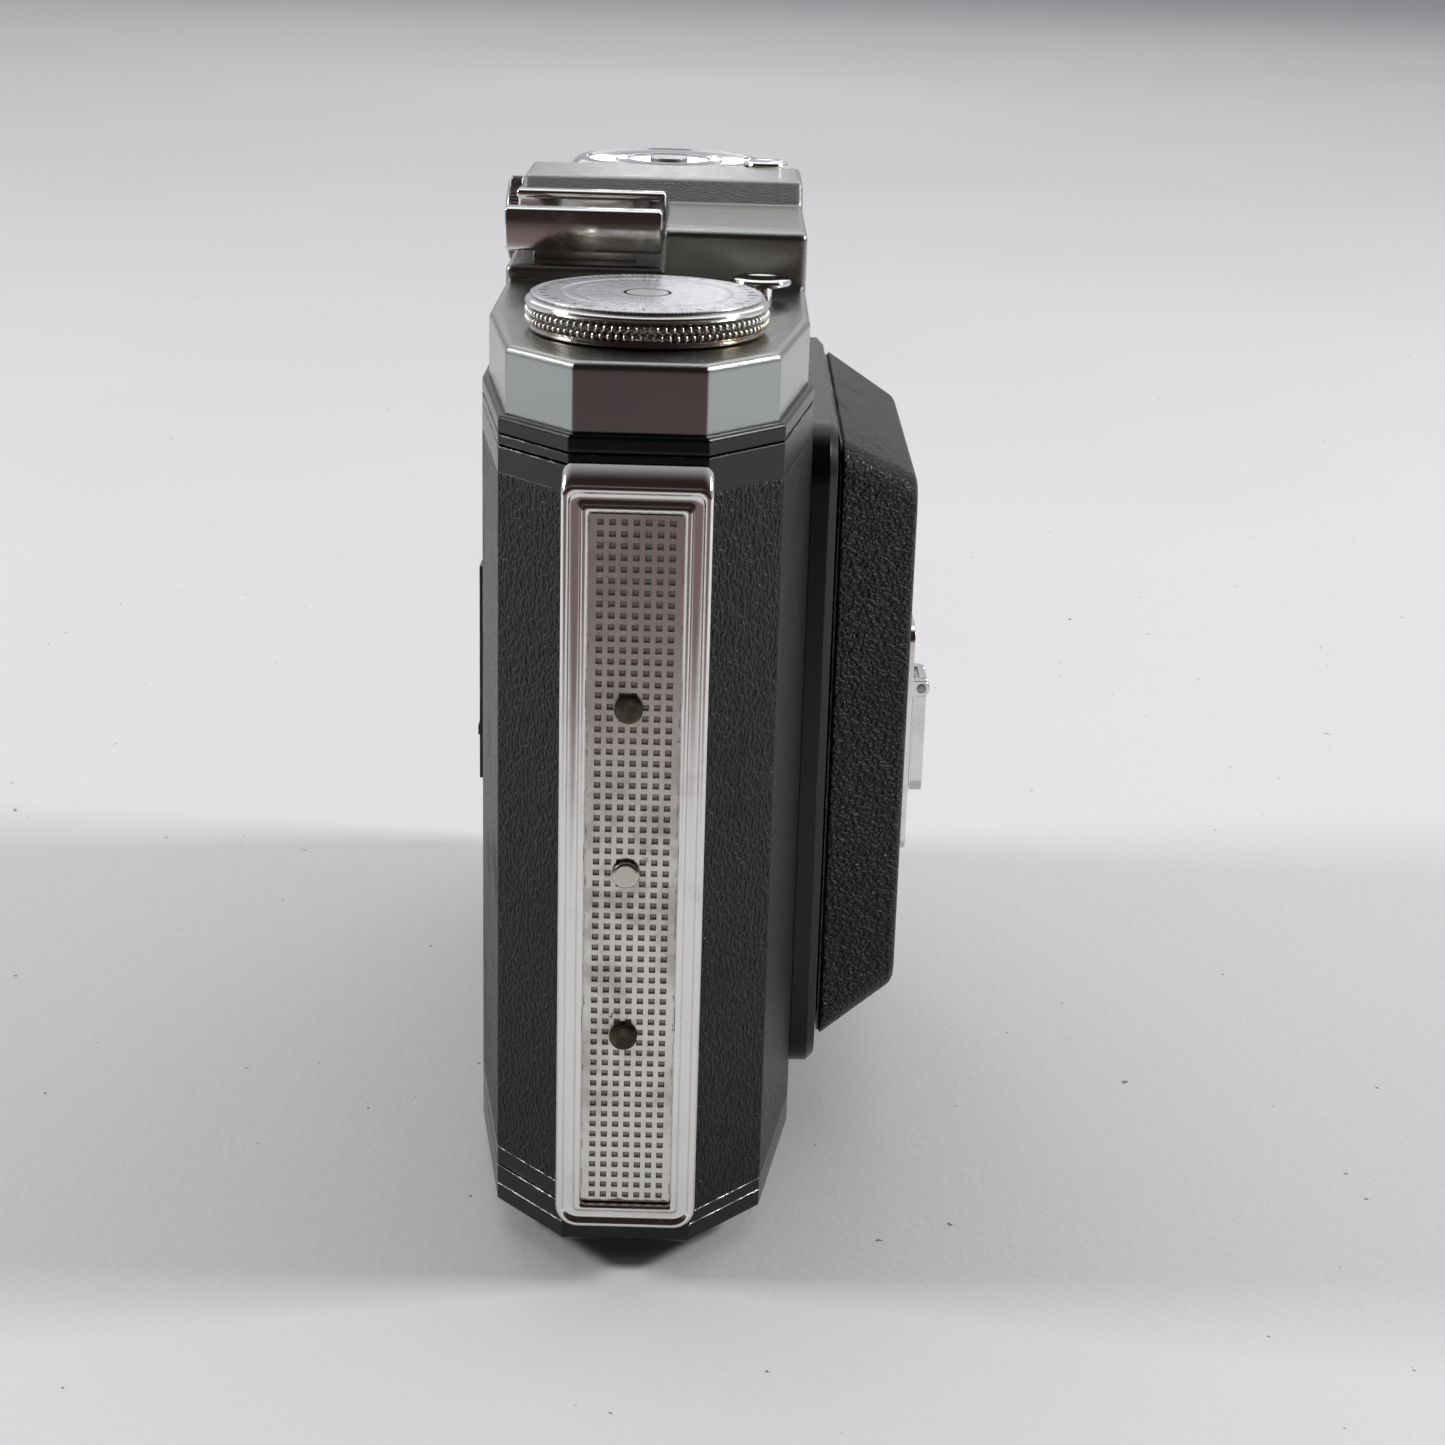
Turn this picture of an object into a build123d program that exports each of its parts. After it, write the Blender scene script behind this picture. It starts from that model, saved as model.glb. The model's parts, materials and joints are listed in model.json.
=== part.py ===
from build123d import *
import os
from math import hypot

os.makedirs("parts", exist_ok=True)

# Driving dimensions, millimetres. X runs along the camera, from the winding end (-) to the hinge end (+),
# the lens looks along -Y and +Z is up. The origin is the mouth of the tripod socket, in the base plane.
LENGTH = 125.0
THICK = 36.0
END_HALF = 6.9  # half width of the flat facet at each end
SHOULDER_X, SHOULDER_Y = 54.2, 14.5  # corner between the two slanted facets
FLAT_X = 33.3  # where the slanted facets meet the long flat sides
BASE_T = 2.2
DECK_Z = 86.6  # top of the casting
COVER_Z = 88.6  # foot of the chromed top cover
PLATE_Z = 95.6  # flat top of the cover beside the housing
LOW_Z, BLOCK_Z, RIDGE_Z = 97.4, 101.8, 104.5  # the three levels of the finder housing
COVER_INSET = 0.75
COVER_WALL = 1.0
SKIN = 0.45  # leather thickness
AXIS_Z = 45.0  # height of the lens axis and of the film gate's centre
SPOOL_X = 42.9
CHAMBER_R = 13.4
CHAMBER_H = 67.0
CHAMBER_LOW = AXIS_Z - CHAMBER_H / 2
DOOR_LOW, DOOR_TOP = 4.7, 85.4  # back door
DOOR_EDGE_Y = 7.1
DOOR_WALL = 1.7
BACK_SKIN_LOW, BACK_SKIN_TOP = 6.65, 82.7
FRONT_SKIN_LOW, FRONT_SKIN_TOP = 3.6, 83.0
FRAME_X, FRAME_LOW, FRAME_TOP = 32.0, 5.2, 83.1
FRAME_Y = 21.0  # front face of the bed frame is at -FRAME_Y
BAY_X, BAY_HALF_Z = 26.5, 32.0  # bellows bay behind the bed
GATE_X, GATE_HALF_Z = 21.0, 28.0
LID_Y0, LID_Y1 = 21.3, 30.5  # bed: its rim and its outer face, both at minus Y
LID_W, LID_H = 60.0, 73.0
LID_IN_X, LID_IN_Z = 4.9, 5.3  # how far the outer face stands in from the rim
BED_HINGE = (31.2, -22.4)
BACK_HINGE = (64.0, 7.8)
SHUTTER_XY = (-22.5, -12.0)
BED_BUTTON_XY = (32.3, -12.8)
FOCUS_X = 43.1
SHOE_X = -1.7
RUN = 0.05  # radial running clearance


def outline(inset=0.0):
    """The body's twelve corners seen from above, each moved in by inset square to its two sides."""
    quarter = [(LENGTH / 2, END_HALF), (SHOULDER_X, SHOULDER_Y), (FLAT_X, THICK / 2)]
    half = quarter + [(-x, y) for x, y in reversed(quarter)]
    corners = half + [(-x, -y) for x, y in half]
    moved = []
    for i, (x, y) in enumerate(corners):
        (x0, y0), (x2, y2) = corners[i - 1], corners[(i + 1) % len(corners)]
        a, b = hypot(x - x0, y - y0), hypot(x2 - x, y2 - y)
        n1 = ((y - y0) / a, (x0 - x) / a)
        n2 = ((y2 - y) / b, (x - x2) / b)
        share = inset / (1 + n1[0] * n2[0] + n1[1] * n2[1])
        moved.append((x - share * (n1[0] + n2[0]), y - share * (n1[1] + n2[1])))
    return moved


def band(outer, inner, y_from, y_to, x_from=-LENGTH, x_to=LENGTH):
    """Sketch of the strip between two insets of the outline, kept between two Y and two X values."""
    Polygon(*outline(outer), align=None)
    Polygon(*outline(inner), align=None, mode=Mode.SUBTRACT)
    with Locations(((x_from + x_to) / 2, (y_from + y_to) / 2)):
        Rectangle(x_to - x_from, y_to - y_from, mode=Mode.INTERSECT)


def front_plane(depth):
    """Sketch plane facing -Y at a depth in front of the origin, centred on the lens axis."""
    return Plane(origin=(0, -depth, AXIS_Z), x_dir=(1, 0, 0), z_dir=(0, -1, 0))


def lid_section(depth, wall, radius):
    """Sketch of the bed's rounded section at a depth, with its sides moved in by wall."""
    share = (depth - LID_Y0) / (LID_Y1 - LID_Y0)
    width = LID_W - 2 * LID_IN_X * share - 2.26 * wall
    height = LID_H - 2 * LID_IN_Z * share - 2.26 * wall
    RectangleRounded(width, height, radius)


def lid_solid(y_from, y_to, wall, radius, mode=Mode.ADD):
    """Tapered block between two sections of the bed."""
    sections = []
    for depth in (y_from, y_to):
        with BuildSketch(front_plane(depth)) as section:
            lid_section(depth, wall, radius)
        sections.append(section.sketch)
    loft(sections, mode=mode)


def spool_shape(z_low):
    """A film spool standing at z_low: two flanges, a core with a leader slot and a centre bore."""
    with Locations((0, 0, z_low)):
        Cylinder(SPOOL_CORE_R, SPOOL_L, align=(Align.CENTER, Align.CENTER, Align.MIN))
        Cylinder(SPOOL_FLANGE_R, SPOOL_FLANGE_T, align=(Align.CENTER, Align.CENTER, Align.MIN))
    with Locations((0, 0, z_low + SPOOL_L)):
        Cylinder(SPOOL_FLANGE_R, SPOOL_FLANGE_T, align=(Align.CENTER, Align.CENTER, Align.MAX))
    with Locations((0, 0, z_low + SPOOL_L / 2)):
        Box(2 * SPOOL_CORE_R + 1, 1.2, 40, mode=Mode.SUBTRACT)
        Cylinder(PEG_R + RUN, SPOOL_L + 1, mode=Mode.SUBTRACT)
    with Locations((0, 0, z_low + SPOOL_L)):
        Box(KEY_W + 0.6, KEY_T + 0.4, 2 * KEY_H, mode=Mode.SUBTRACT)


SPOOL_L, SPOOL_CORE_R, SPOOL_FLANGE_R, SPOOL_FLANGE_T = 65.4, 5.0, 12.4, 1.0
SPOOL_Z = AXIS_Z - SPOOL_L / 2
PEG_R = 1.6
KEY_W, KEY_T, KEY_H = 6.4, 1.2, 3.0
SHAFT_R = 2.5
MIN_Z = (Align.CENTER, Align.CENTER, Align.MIN)
MAX_Z = (Align.CENTER, Align.CENTER, Align.MAX)

# ---------------------------------------------------------------- body

ROLLER_X, ROLLER_Y, ROLLER_R, ROLLER_PIN_R = 26.4, 7.0, 2.2, 0.9
BUSH_R, BUSH_H, BUSH_BORE_R = 5.0, 7.0, 3.175
SCREW_XY = [(x, y) for x in (-50, 50) for y in (-8, 8)]
LATCH_SLOT_HALF, LATCH_SLOT_DEEP = 4.0, 2.4
CORE_INSET = 2.9  # casting stands this far inside the outline where the back door covers it

with BuildPart() as body_casting:
    with BuildSketch(Plane.XY.offset(BASE_T)):
        Polygon(*outline(), align=None)
    extrude(amount=DECK_Z - BASE_T)
    # seat of the back door
    with BuildSketch(Plane.XY.offset(DOOR_LOW - 0.3)):
        band(-1.0, CORE_INSET, END_HALF, THICK)
    extrude(amount=DOOR_TOP - DOOR_LOW + 0.6, mode=Mode.SUBTRACT)
    # pocket for the front leather
    with BuildSketch(Plane.XY.offset(FRONT_SKIN_LOW)):
        band(-1.0, SKIN, -THICK, -END_HALF)
    extrude(amount=FRONT_SKIN_TOP - FRONT_SKIN_LOW, mode=Mode.SUBTRACT)
    # film chambers, open to the back
    for x in (-SPOOL_X, SPOOL_X):
        with Locations((x, 0, CHAMBER_LOW)):
            Cylinder(CHAMBER_R, CHAMBER_H, align=MIN_Z, mode=Mode.SUBTRACT)
            Box(2 * CHAMBER_R, THICK, CHAMBER_H, align=(Align.CENTER, Align.MIN, Align.MIN),
                mode=Mode.SUBTRACT)
    # film path across the back, behind the gate
    with Locations((0, 9.0, CHAMBER_LOW)):
        Box(2 * SPOOL_X, THICK, CHAMBER_H, align=(Align.CENTER, Align.MIN, Align.MIN),
            mode=Mode.SUBTRACT)
    for x in (-1, 1):
        with Locations((x * 27.0, 4.2, CHAMBER_LOW)):
            Box(6.4, THICK, CHAMBER_H, align=(Align.CENTER, Align.MIN, Align.MIN), mode=Mode.SUBTRACT)
        with Locations((x * ROLLER_X, ROLLER_Y, AXIS_Z)):
            Cylinder(ROLLER_PIN_R + RUN, CHAMBER_H + 4, mode=Mode.SUBTRACT)
    # bellows bay, open to the front, and the film gate
    with Locations((0, 5.8, AXIS_Z)):
        Box(2 * BAY_X, THICK, 2 * BAY_HALF_Z, align=(Align.CENTER, Align.MAX, Align.CENTER),
            mode=Mode.SUBTRACT)
        Box(2 * GATE_X, THICK, 2 * GATE_HALF_Z, mode=Mode.SUBTRACT)
    # groove for the latch slider, in the winding end
    with Locations((-LENGTH / 2, 0, AXIS_Z)):
        Box(2 * LATCH_SLOT_DEEP, 2 * LATCH_SLOT_HALF, 72, mode=Mode.SUBTRACT)
    # bores: tripod bush, base screws, winding and supply shafts, lower pegs, button stems
    with Locations((0, 0, BASE_T)):
        Cylinder(BUSH_R, 2 * (BUSH_H - BASE_T), mode=Mode.SUBTRACT)
    with Locations(*[(x, y, BASE_T) for x, y in SCREW_XY]):
        Cylinder(1.0, 12, mode=Mode.SUBTRACT)
    with Locations((-SPOOL_X, 0, DECK_Z)):
        Cylinder(SHAFT_R + RUN, 30, mode=Mode.SUBTRACT)
    with Locations((SPOOL_X, 0, DECK_Z)):
        Cylinder(PEG_R, 30, mode=Mode.SUBTRACT)
    with Locations(*[(x, 0, CHAMBER_LOW) for x in (-SPOOL_X, SPOOL_X)]):
        Cylinder(PEG_R, 6, mode=Mode.SUBTRACT)
    with Locations(*[(x, y, DECK_Z) for x, y in (SHUTTER_XY, BED_BUTTON_XY)]):
        Cylinder(1.2 + RUN, 8, mode=Mode.SUBTRACT)
    # outer knuckles of the back door's hinge
    for z in (10.0, 68.0):
        with Locations((BACK_HINGE[0], BACK_HINGE[1], z)):
            Cylinder(1.3, 12, align=MIN_Z)
        with Locations((LENGTH / 2, 6.3, z)):
            Box(1.5, 1.2, 12, align=(Align.MIN, Align.CENTER, Align.MIN))
    with Locations((BACK_HINGE[0], BACK_HINGE[1], AXIS_Z)):
        Cylinder(0.7, 80, mode=Mode.SUBTRACT)
body_casting.part.label = "body_casting"
export_step(body_casting.part, "parts/body_casting.step")

with BuildPart() as base_plate:
    with BuildSketch():
        Polygon(*outline(), align=None)
        Circle(BUSH_R, mode=Mode.SUBTRACT)
    extrude(amount=BASE_T)
    chamfer(base_plate.faces().sort_by(Axis.Z)[0].outer_wire().edges(), 0.3)
    with Locations(*[Location((x, y, 0), (180, 0, 0)) for x, y in SCREW_XY]):
        CounterSinkHole(1.1, 2.1, depth=BASE_T)
base_plate.part.label = "base_plate"
export_step(base_plate.part, "parts/base_plate.step")

with BuildPart() as base_screws:
    for x, y in SCREW_XY:
        with Locations((x, y, 0.1)):
            Cone(2.0, 1.0, 1.0, align=MIN_Z)
            Cylinder(1.0, 7.5, align=MIN_Z)
            Box(3.4, 0.5, 0.8, mode=Mode.SUBTRACT)
base_screws.part.label = "base_screws"
export_step(base_screws.part, "parts/base_screws.step")

with BuildPart() as tripod_bush:
    Cylinder(BUSH_R, BUSH_H, align=MIN_Z)
    Cylinder(BUSH_BORE_R, 12, mode=Mode.SUBTRACT)
tripod_bush.part.label = "tripod_bush"
export_step(tripod_bush.part, "parts/tripod_bush.step")

# one leather panel each side of the bed frame
for side, name in ((-1, "front_leather_near"), (1, "front_leather_far")):
    with BuildPart() as front_leather:
        with BuildSketch(Plane.XY.offset(FRONT_SKIN_LOW)):
            low, high = sorted((side * (FRAME_X + 0.05), side * LENGTH))
            band(0.0, SKIN, -THICK, -END_HALF, low, high)
        extrude(amount=FRONT_SKIN_TOP - FRONT_SKIN_LOW)
    front_leather.part.label = name
    export_step(front_leather.part, f"parts/{name}.step")

with BuildPart() as bed_frame:
    with BuildSketch(Plane.XZ.offset(THICK / 2)):
        with Locations((0, (FRAME_LOW + FRAME_TOP) / 2)):
            RectangleRounded(2 * FRAME_X, FRAME_TOP - FRAME_LOW, 6.0)
        with Locations((0, AXIS_Z)):
            RectangleRounded(2 * BAY_X, 2 * BAY_HALF_Z, 2.0, mode=Mode.SUBTRACT)
    extrude(amount=FRAME_Y - THICK / 2)
    chamfer(bed_frame.faces().sort_by(Axis.Y)[0].outer_wire().edges(), 0.9)
    for z in (14.0, 66.0):
        with Locations((BED_HINGE[0], BED_HINGE[1], z)):
            Cylinder(1.2, 10, align=MIN_Z)
        with Locations((BED_HINGE[0], BED_HINGE[1], z)):
            Box(1.6, 2.4, 10, align=(Align.CENTER, Align.MIN, Align.MIN))
    with Locations((BED_HINGE[0], BED_HINGE[1], AXIS_Z)):
        Cylinder(0.6, 80, mode=Mode.SUBTRACT)
bed_frame.part.label = "bed_frame"
export_step(bed_frame.part, "parts/bed_frame.step")

with BuildPart() as bed_hinge_pins:
    with Locations((BED_HINGE[0], BED_HINGE[1], 14.0), (BED_HINGE[0], BED_HINGE[1], 56.0)):
        Cylinder(0.6, 20, align=MIN_Z)
bed_hinge_pins.part.label = "bed_hinge_pins"
export_step(bed_hinge_pins.part, "parts/bed_hinge_pins.step")

with BuildPart() as back_hinge_pin:
    with Locations((BACK_HINGE[0], BACK_HINGE[1], 10.0)):
        Cylinder(0.7, 70, align=MIN_Z)
back_hinge_pin.part.label = "back_hinge_pin"
export_step(back_hinge_pin.part, "parts/back_hinge_pin.step")

with BuildPart() as spool_pegs:
    with Locations(*[(x, 0, CHAMBER_LOW - 3) for x in (-SPOOL_X, SPOOL_X)]):
        Cylinder(PEG_R, 7, align=MIN_Z)
    with Locations((SPOOL_X, 0, CHAMBER_LOW + CHAMBER_H - 4)):
        Cylinder(PEG_R, 7, align=MIN_Z)
spool_pegs.part.label = "spool_pegs"
export_step(spool_pegs.part, "parts/spool_pegs.step")

for side, name in ((-1, "film_roller_near"), (1, "film_roller_far")):
    with BuildPart() as film_roller:
        with Locations((side * ROLLER_X, ROLLER_Y, AXIS_Z)):
            Cylinder(ROLLER_R, CHAMBER_H - 1)
            Cylinder(ROLLER_PIN_R, CHAMBER_H + 3)
    film_roller.part.label = name
    export_step(film_roller.part, f"parts/{name}.step")

for x, name in ((-SPOOL_X, "take_up_spool"), (SPOOL_X, "supply_spool")):
    with BuildPart() as spool:
        spool_shape(SPOOL_Z)
    placed = spool.part.moved(Location((x, 0, 0)))
    placed.label = name
    export_step(placed, f"parts/{name}.step")

# ---------------------------------------------------------------- top cover and finder

HOUSE_X0, HOUSE_X1, HOUSE_Y = -12.5, 29.0, 17.25
SLOPE_X, RIDGE_X = 7.4, 14.5  # foot and head of the 45 degree slope
BLOCK_BACK_Y = -1.0
EYE_X, EYE_Z, EYE_R = 21.5, 98.5, 5.5
WINDOW_Z = 97.6
FINDER_X, RANGE_X = 21.5, -6.0  # window centres in the housing's front

with BuildPart() as top_deck:
    with BuildSketch(Plane.XY.offset(DECK_Z)):
        Polygon(*outline(), align=None)
        with Locations((-SPOOL_X, 0), (FOCUS_X, 0)):
            Circle(SHAFT_R + RUN, mode=Mode.SUBTRACT)
        with Locations(SHUTTER_XY, BED_BUTTON_XY):
            Circle(1.2 + RUN, mode=Mode.SUBTRACT)
    extrude(amount=COVER_Z - DECK_Z)
    fillet(top_deck.faces().sort_by(Axis.Z)[0].outer_wire().edges(), 0.5)
    fillet(top_deck.faces().sort_by(Axis.Z)[-1].outer_wire().edges(), 0.5)
top_deck.part.label = "top_deck"
export_step(top_deck.part, "parts/top_deck.step")


def housing(gap, soft=0.0):
    """The finder housing's raised volume, moved in by gap, with its crosswise corners rounded by soft."""
    low, block, ridge = LOW_Z - gap, BLOCK_Z - gap, RIDGE_Z - gap
    foot, head = SLOPE_X + 0.41 * gap, RIDGE_X + 0.41 * gap
    x0, x1, y = HOUSE_X0 + gap, HOUSE_X1 - gap, HOUSE_Y - gap
    with BuildSketch(Plane.XZ.offset(-y)) as whole:
        Polygon((x0, PLATE_Z - 2), (x1, PLATE_Z - 2), (x1, ridge), (head, ridge), (foot, low),
                (x0, low), align=None)
        if soft:
            fillet(whole.vertices().filter_by(lambda v: v.Y > PLATE_Z), soft)
    extrude(whole.sketch, amount=2 * y)
    with BuildSketch(Plane.XZ.offset(-BLOCK_BACK_Y + gap)) as front:
        Polygon((x0, PLATE_Z - 2), (head, PLATE_Z - 2), (head, ridge),
                (head - (ridge - block), block), (x0, block), align=None)
        if soft:
            fillet(front.vertices().filter_by(lambda v: v.Y > PLATE_Z and v.X < HOUSE_X0 + 1), soft)
            fillet(front.vertices().sort_by(Axis.Y)[-1], 0.3 * soft)
    extrude(front.sketch, amount=y + BLOCK_BACK_Y - gap)


with BuildPart() as cover_hollow:
    with BuildSketch(Plane.XY.offset(COVER_Z)):
        Polygon(*outline(COVER_INSET + COVER_WALL), align=None)
    extrude(amount=PLATE_Z - COVER_WALL - COVER_Z)
    housing(COVER_WALL)

with BuildPart() as top_cover:
    housing(0.0, 0.9)
    for end in (0, -1):
        rim = top_cover.faces().sort_by(Axis.Y)[end].outer_wire().edges()
        fillet(rim.filter_by(lambda e: e.center().Z > PLATE_Z - 1.9), 0.7)
    with BuildSketch(Plane.XY.offset(COVER_Z)):
        Polygon(*outline(COVER_INSET), align=None)
    extrude(amount=PLATE_Z - COVER_Z)
    plate = [f for f in top_cover.faces().filter_by(Axis.Z) if abs(f.center().Z - PLATE_Z) < 0.01]
    edge = [e for f in plate for e in f.outer_wire().edges()
            if abs(e.center().X) > FLAT_X - 1 or abs(e.center().Y) > HOUSE_Y - 0.2]
    fillet(ShapeList(e for e in edge if e.center().X < HOUSE_X0 - 1 or e.center().X > HOUSE_X1 + 1), 0.8)
    add(cover_hollow.part, mode=Mode.SUBTRACT)
    with Locations((-SPOOL_X, 0, PLATE_Z), (FOCUS_X, 0, PLATE_Z)):
        Cylinder(SHAFT_R + RUN, 8, mode=Mode.SUBTRACT)
    with Locations(*[(x, y, PLATE_Z) for x, y in (SHUTTER_XY, BED_BUTTON_XY)]):
        Cylinder(1.2 + RUN, 8, mode=Mode.SUBTRACT)
    with Locations(Location((EYE_X, HOUSE_Y, EYE_Z), (90, 0, 0))):
        Cylinder(4.0, 6, mode=Mode.SUBTRACT)
    with Locations((FINDER_X, -HOUSE_Y, WINDOW_Z)):
        Box(11.0, 6.0, 7.0, mode=Mode.SUBTRACT)
    with Locations((RANGE_X, -HOUSE_Y, WINDOW_Z)):
        Box(5.0, 6.0, 5.0, mode=Mode.SUBTRACT)
top_cover.part.label = "top_cover"
export_step(top_cover.part, "parts/top_cover.step")

for x, wide, tall, name in ((FINDER_X, 11.0, 7.0, "finder_window"), (RANGE_X, 5.0, 5.0, "range_window")):
    with BuildPart() as window:
        with Locations((x, -HOUSE_Y + 0.2, WINDOW_Z)):
            Box(wide, 1.0, tall, align=(Align.CENTER, Align.MIN, Align.CENTER))
    window.part.label = name
    export_step(window.part, f"parts/{name}.step")

with BuildPart() as finder_objective:
    with Locations(Location((FINDER_X, -9.0, WINDOW_Z), (90, 0, 0))):
        Cylinder(4.2, 2.0)
        Cylinder(3.0, 3.0)
finder_objective.part.label = "finder_objective"
export_step(finder_objective.part, "parts/finder_objective.step")

with BuildPart() as beam_splitter:
    with Locations(Location((FINDER_X, -2.0, WINDOW_Z), (0, 0, 45))):
        Box(9.0, 1.0, 7.0)
beam_splitter.part.label = "beam_splitter"
export_step(beam_splitter.part, "parts/beam_splitter.step")

with BuildPart() as range_mirror:
    with Locations(Location((RANGE_X, -6.0, WINDOW_Z), (0, 0, 45))):
        Box(6.0, 1.0, 5.6)
range_mirror.part.label = "range_mirror"
export_step(range_mirror.part, "parts/range_mirror.step")

with BuildPart() as eyepiece_ring:
    with Locations(Location((EYE_X, HOUSE_Y, EYE_Z), (90, 0, 0))):
        Cylinder(EYE_R, 2.35, align=MAX_Z)
        Cylinder(4.0, 2.2, align=MIN_Z)
        Cylinder(3.2, 12, mode=Mode.SUBTRACT)
    chamfer(eyepiece_ring.faces().sort_by(Axis.Y)[-1].outer_wire().edges(), 0.5)
eyepiece_ring.part.label = "eyepiece_ring"
export_step(eyepiece_ring.part, "parts/eyepiece_ring.step")

with BuildPart() as eyepiece_lens:
    with Locations(Location((EYE_X, HOUSE_Y + 1.8, EYE_Z), (90, 0, 0))):
        Cylinder(3.2, 1.6)
eyepiece_lens.part.label = "eyepiece_lens"
export_step(eyepiece_lens.part, "parts/eyepiece_lens.step")

# accessory shoe: a floor, two walls and two lips, open along Y, on a plinth that leaves a gap under it
SHOE_W, SHOE_INNER, SHOE_GAP = 20.6, 18.8, 14.0
SHOE_Y0, SHOE_Y1 = -0.6, 17.4
SHOE_FOOT, SHOE_FLOOR, SHOE_LIP, SHOE_TOP = 98.9, 100.0, 102.6, 103.7
with BuildPart() as accessory_shoe:
    with BuildSketch(Plane.XZ.offset(-SHOE_Y1)):
        with Locations((SHOE_X, (SHOE_FOOT + SHOE_TOP) / 2)):
            RectangleRounded(SHOE_W, SHOE_TOP - SHOE_FOOT, 0.6)
        with Locations((SHOE_X, (SHOE_FLOOR + SHOE_LIP) / 2)):
            Rectangle(SHOE_INNER, SHOE_LIP - SHOE_FLOOR, mode=Mode.SUBTRACT)
        with Locations((SHOE_X, SHOE_TOP)):
            Rectangle(SHOE_GAP, 4, mode=Mode.SUBTRACT)
    extrude(amount=SHOE_Y1 - SHOE_Y0)
    with Locations((SHOE_X, (SHOE_Y0 + SHOE_Y1) / 2, SHOE_FOOT)):
        Box(12.0, 12.0, SHOE_FOOT - LOW_Z, align=MAX_Z)
    with Locations(*[(SHOE_X + x, (SHOE_Y0 + SHOE_Y1) / 2 + y, SHOE_FLOOR) for x in (-4, 4) for y in (-4, 4)]):
        CounterSinkHole(0.8, 1.5, depth=3.0)
accessory_shoe.part.label = "accessory_shoe"
export_step(accessory_shoe.part, "parts/accessory_shoe.step")

with BuildPart() as shoe_screws:
    for x in (-4, 4):
        for y in (-4, 4):
            with Locations((SHOE_X + x, (SHOE_Y0 + SHOE_Y1) / 2 + y, SHOE_FLOOR - 0.05)):
                Cylinder(0.8, 2.4, align=MAX_Z)
                Cone(0.8, 1.4, 0.6, align=MAX_Z)
                Box(2.6, 0.4, 0.5, mode=Mode.SUBTRACT)
shoe_screws.part.label = "shoe_screws"
export_step(shoe_screws.part, "parts/shoe_screws.step")

# ---------------------------------------------------------------- winding knob, focusing knob, buttons

KNOB_R, KNOB_TOP = 12.9, 99.5
KNOB_FOOT = PLATE_Z + 0.2
with BuildPart() as wind_knob:
    with BuildSketch(Plane.XZ):
        Polygon((0, KNOB_FOOT), (12.1, KNOB_FOOT), (12.1, 96.0), (12.5, 96.1), (KNOB_R, 96.3), (KNOB_R, 98.3),
                (12.5, 98.5), (12.3, 98.7), (12.3, 99.0), (11.9, 99.2), (0, 99.2), align=None)
    revolve(axis=Axis.Z)
    with Locations((0, 0, 90)):
        Cylinder(SHAFT_R, 40, mode=Mode.SUBTRACT)
wind_knob_placed = wind_knob.part.moved(Location((-SPOOL_X, 0, 0)))
wind_knob_placed.label = "wind_knob"
export_step(wind_knob_placed, "parts/wind_knob.step")

with BuildPart() as wind_knob_disc:
    with Locations((-SPOOL_X, 0, 99.2)):
        Cylinder(11.8, KNOB_TOP - 99.2, align=MIN_Z)
        Cylinder(SHAFT_R, 3, mode=Mode.SUBTRACT)
wind_knob_disc.part.label = "wind_knob_disc"
export_step(wind_knob_disc.part, "parts/wind_knob_disc.step")

with BuildPart() as wind_shaft:
    with Locations((-SPOOL_X, 0, CHAMBER_LOW + CHAMBER_H - 0.4)):
        Cylinder(SHAFT_R, KNOB_TOP - CHAMBER_LOW - CHAMBER_H + 0.4, align=MIN_Z)
        Box(KEY_W, KEY_T, KEY_H, align=MAX_Z)
wind_shaft.part.label = "wind_shaft"
export_step(wind_shaft.part, "parts/wind_shaft.step")

FOCUS_R, FOCUS_TOP = 13.4, 103.9
with BuildPart() as focus_knob:
    with BuildSketch(Plane.XZ):
        Polygon((0, 97.4), (FOCUS_R, 97.4), (FOCUS_R, 102.6), (12.8, 103.2), (12.2, 103.6), (12.2, FOCUS_TOP),
                (0, FOCUS_TOP), align=None)
    revolve(axis=Axis.Z)
    with Locations((0, 0, 90)):
        Cylinder(SHAFT_R, 40, mode=Mode.SUBTRACT)
focus_knob_placed = focus_knob.part.moved(Location((FOCUS_X, 0, 0)))
focus_knob_placed.label = "focus_knob"
export_step(focus_knob_placed, "parts/focus_knob.step")

with BuildPart() as focus_scale:
    with Locations((FOCUS_X, 0, PLATE_Z)):
        Cylinder(12.6, 97.1 - PLATE_Z, align=MIN_Z)
        Cylinder(SHAFT_R + RUN, 8, mode=Mode.SUBTRACT)
    chamfer(focus_scale.faces().sort_by(Axis.Z)[-1].outer_wire().edges(), 0.6)
focus_scale.part.label = "focus_scale"
export_step(focus_scale.part, "parts/focus_scale.step")

with BuildPart() as focus_shaft:
    with Locations((FOCUS_X, 0, DECK_Z + 0.2)):
        Cylinder(SHAFT_R, FOCUS_TOP - DECK_Z - 0.2, align=MIN_Z)
    with Locations((FOCUS_X, 0, COVER_Z + 2)):
        Cylinder(6.0, 1.2, align=MIN_Z)
focus_shaft.part.label = "focus_shaft"
export_step(focus_shaft.part, "parts/focus_shaft.step")


def button(xy, cap_r, cap_top, name):
    """A mushroom button: cap, stem and the collar that its spring pushes on."""
    with BuildPart() as piece:
        with Locations((*xy, cap_top)):
            Cylinder(cap_r, 1.0, align=MAX_Z)
            Cylinder(1.2, cap_top - DECK_Z, align=MAX_Z)
        with Locations((*xy, 92.0)):
            Cylinder(2.4, 0.8, align=MIN_Z)
        fillet(piece.faces().sort_by(Axis.Z)[-1].outer_wire().edges(), 0.4)
    piece.part.label = name
    export_step(piece.part, f"parts/{name}.step")


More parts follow.
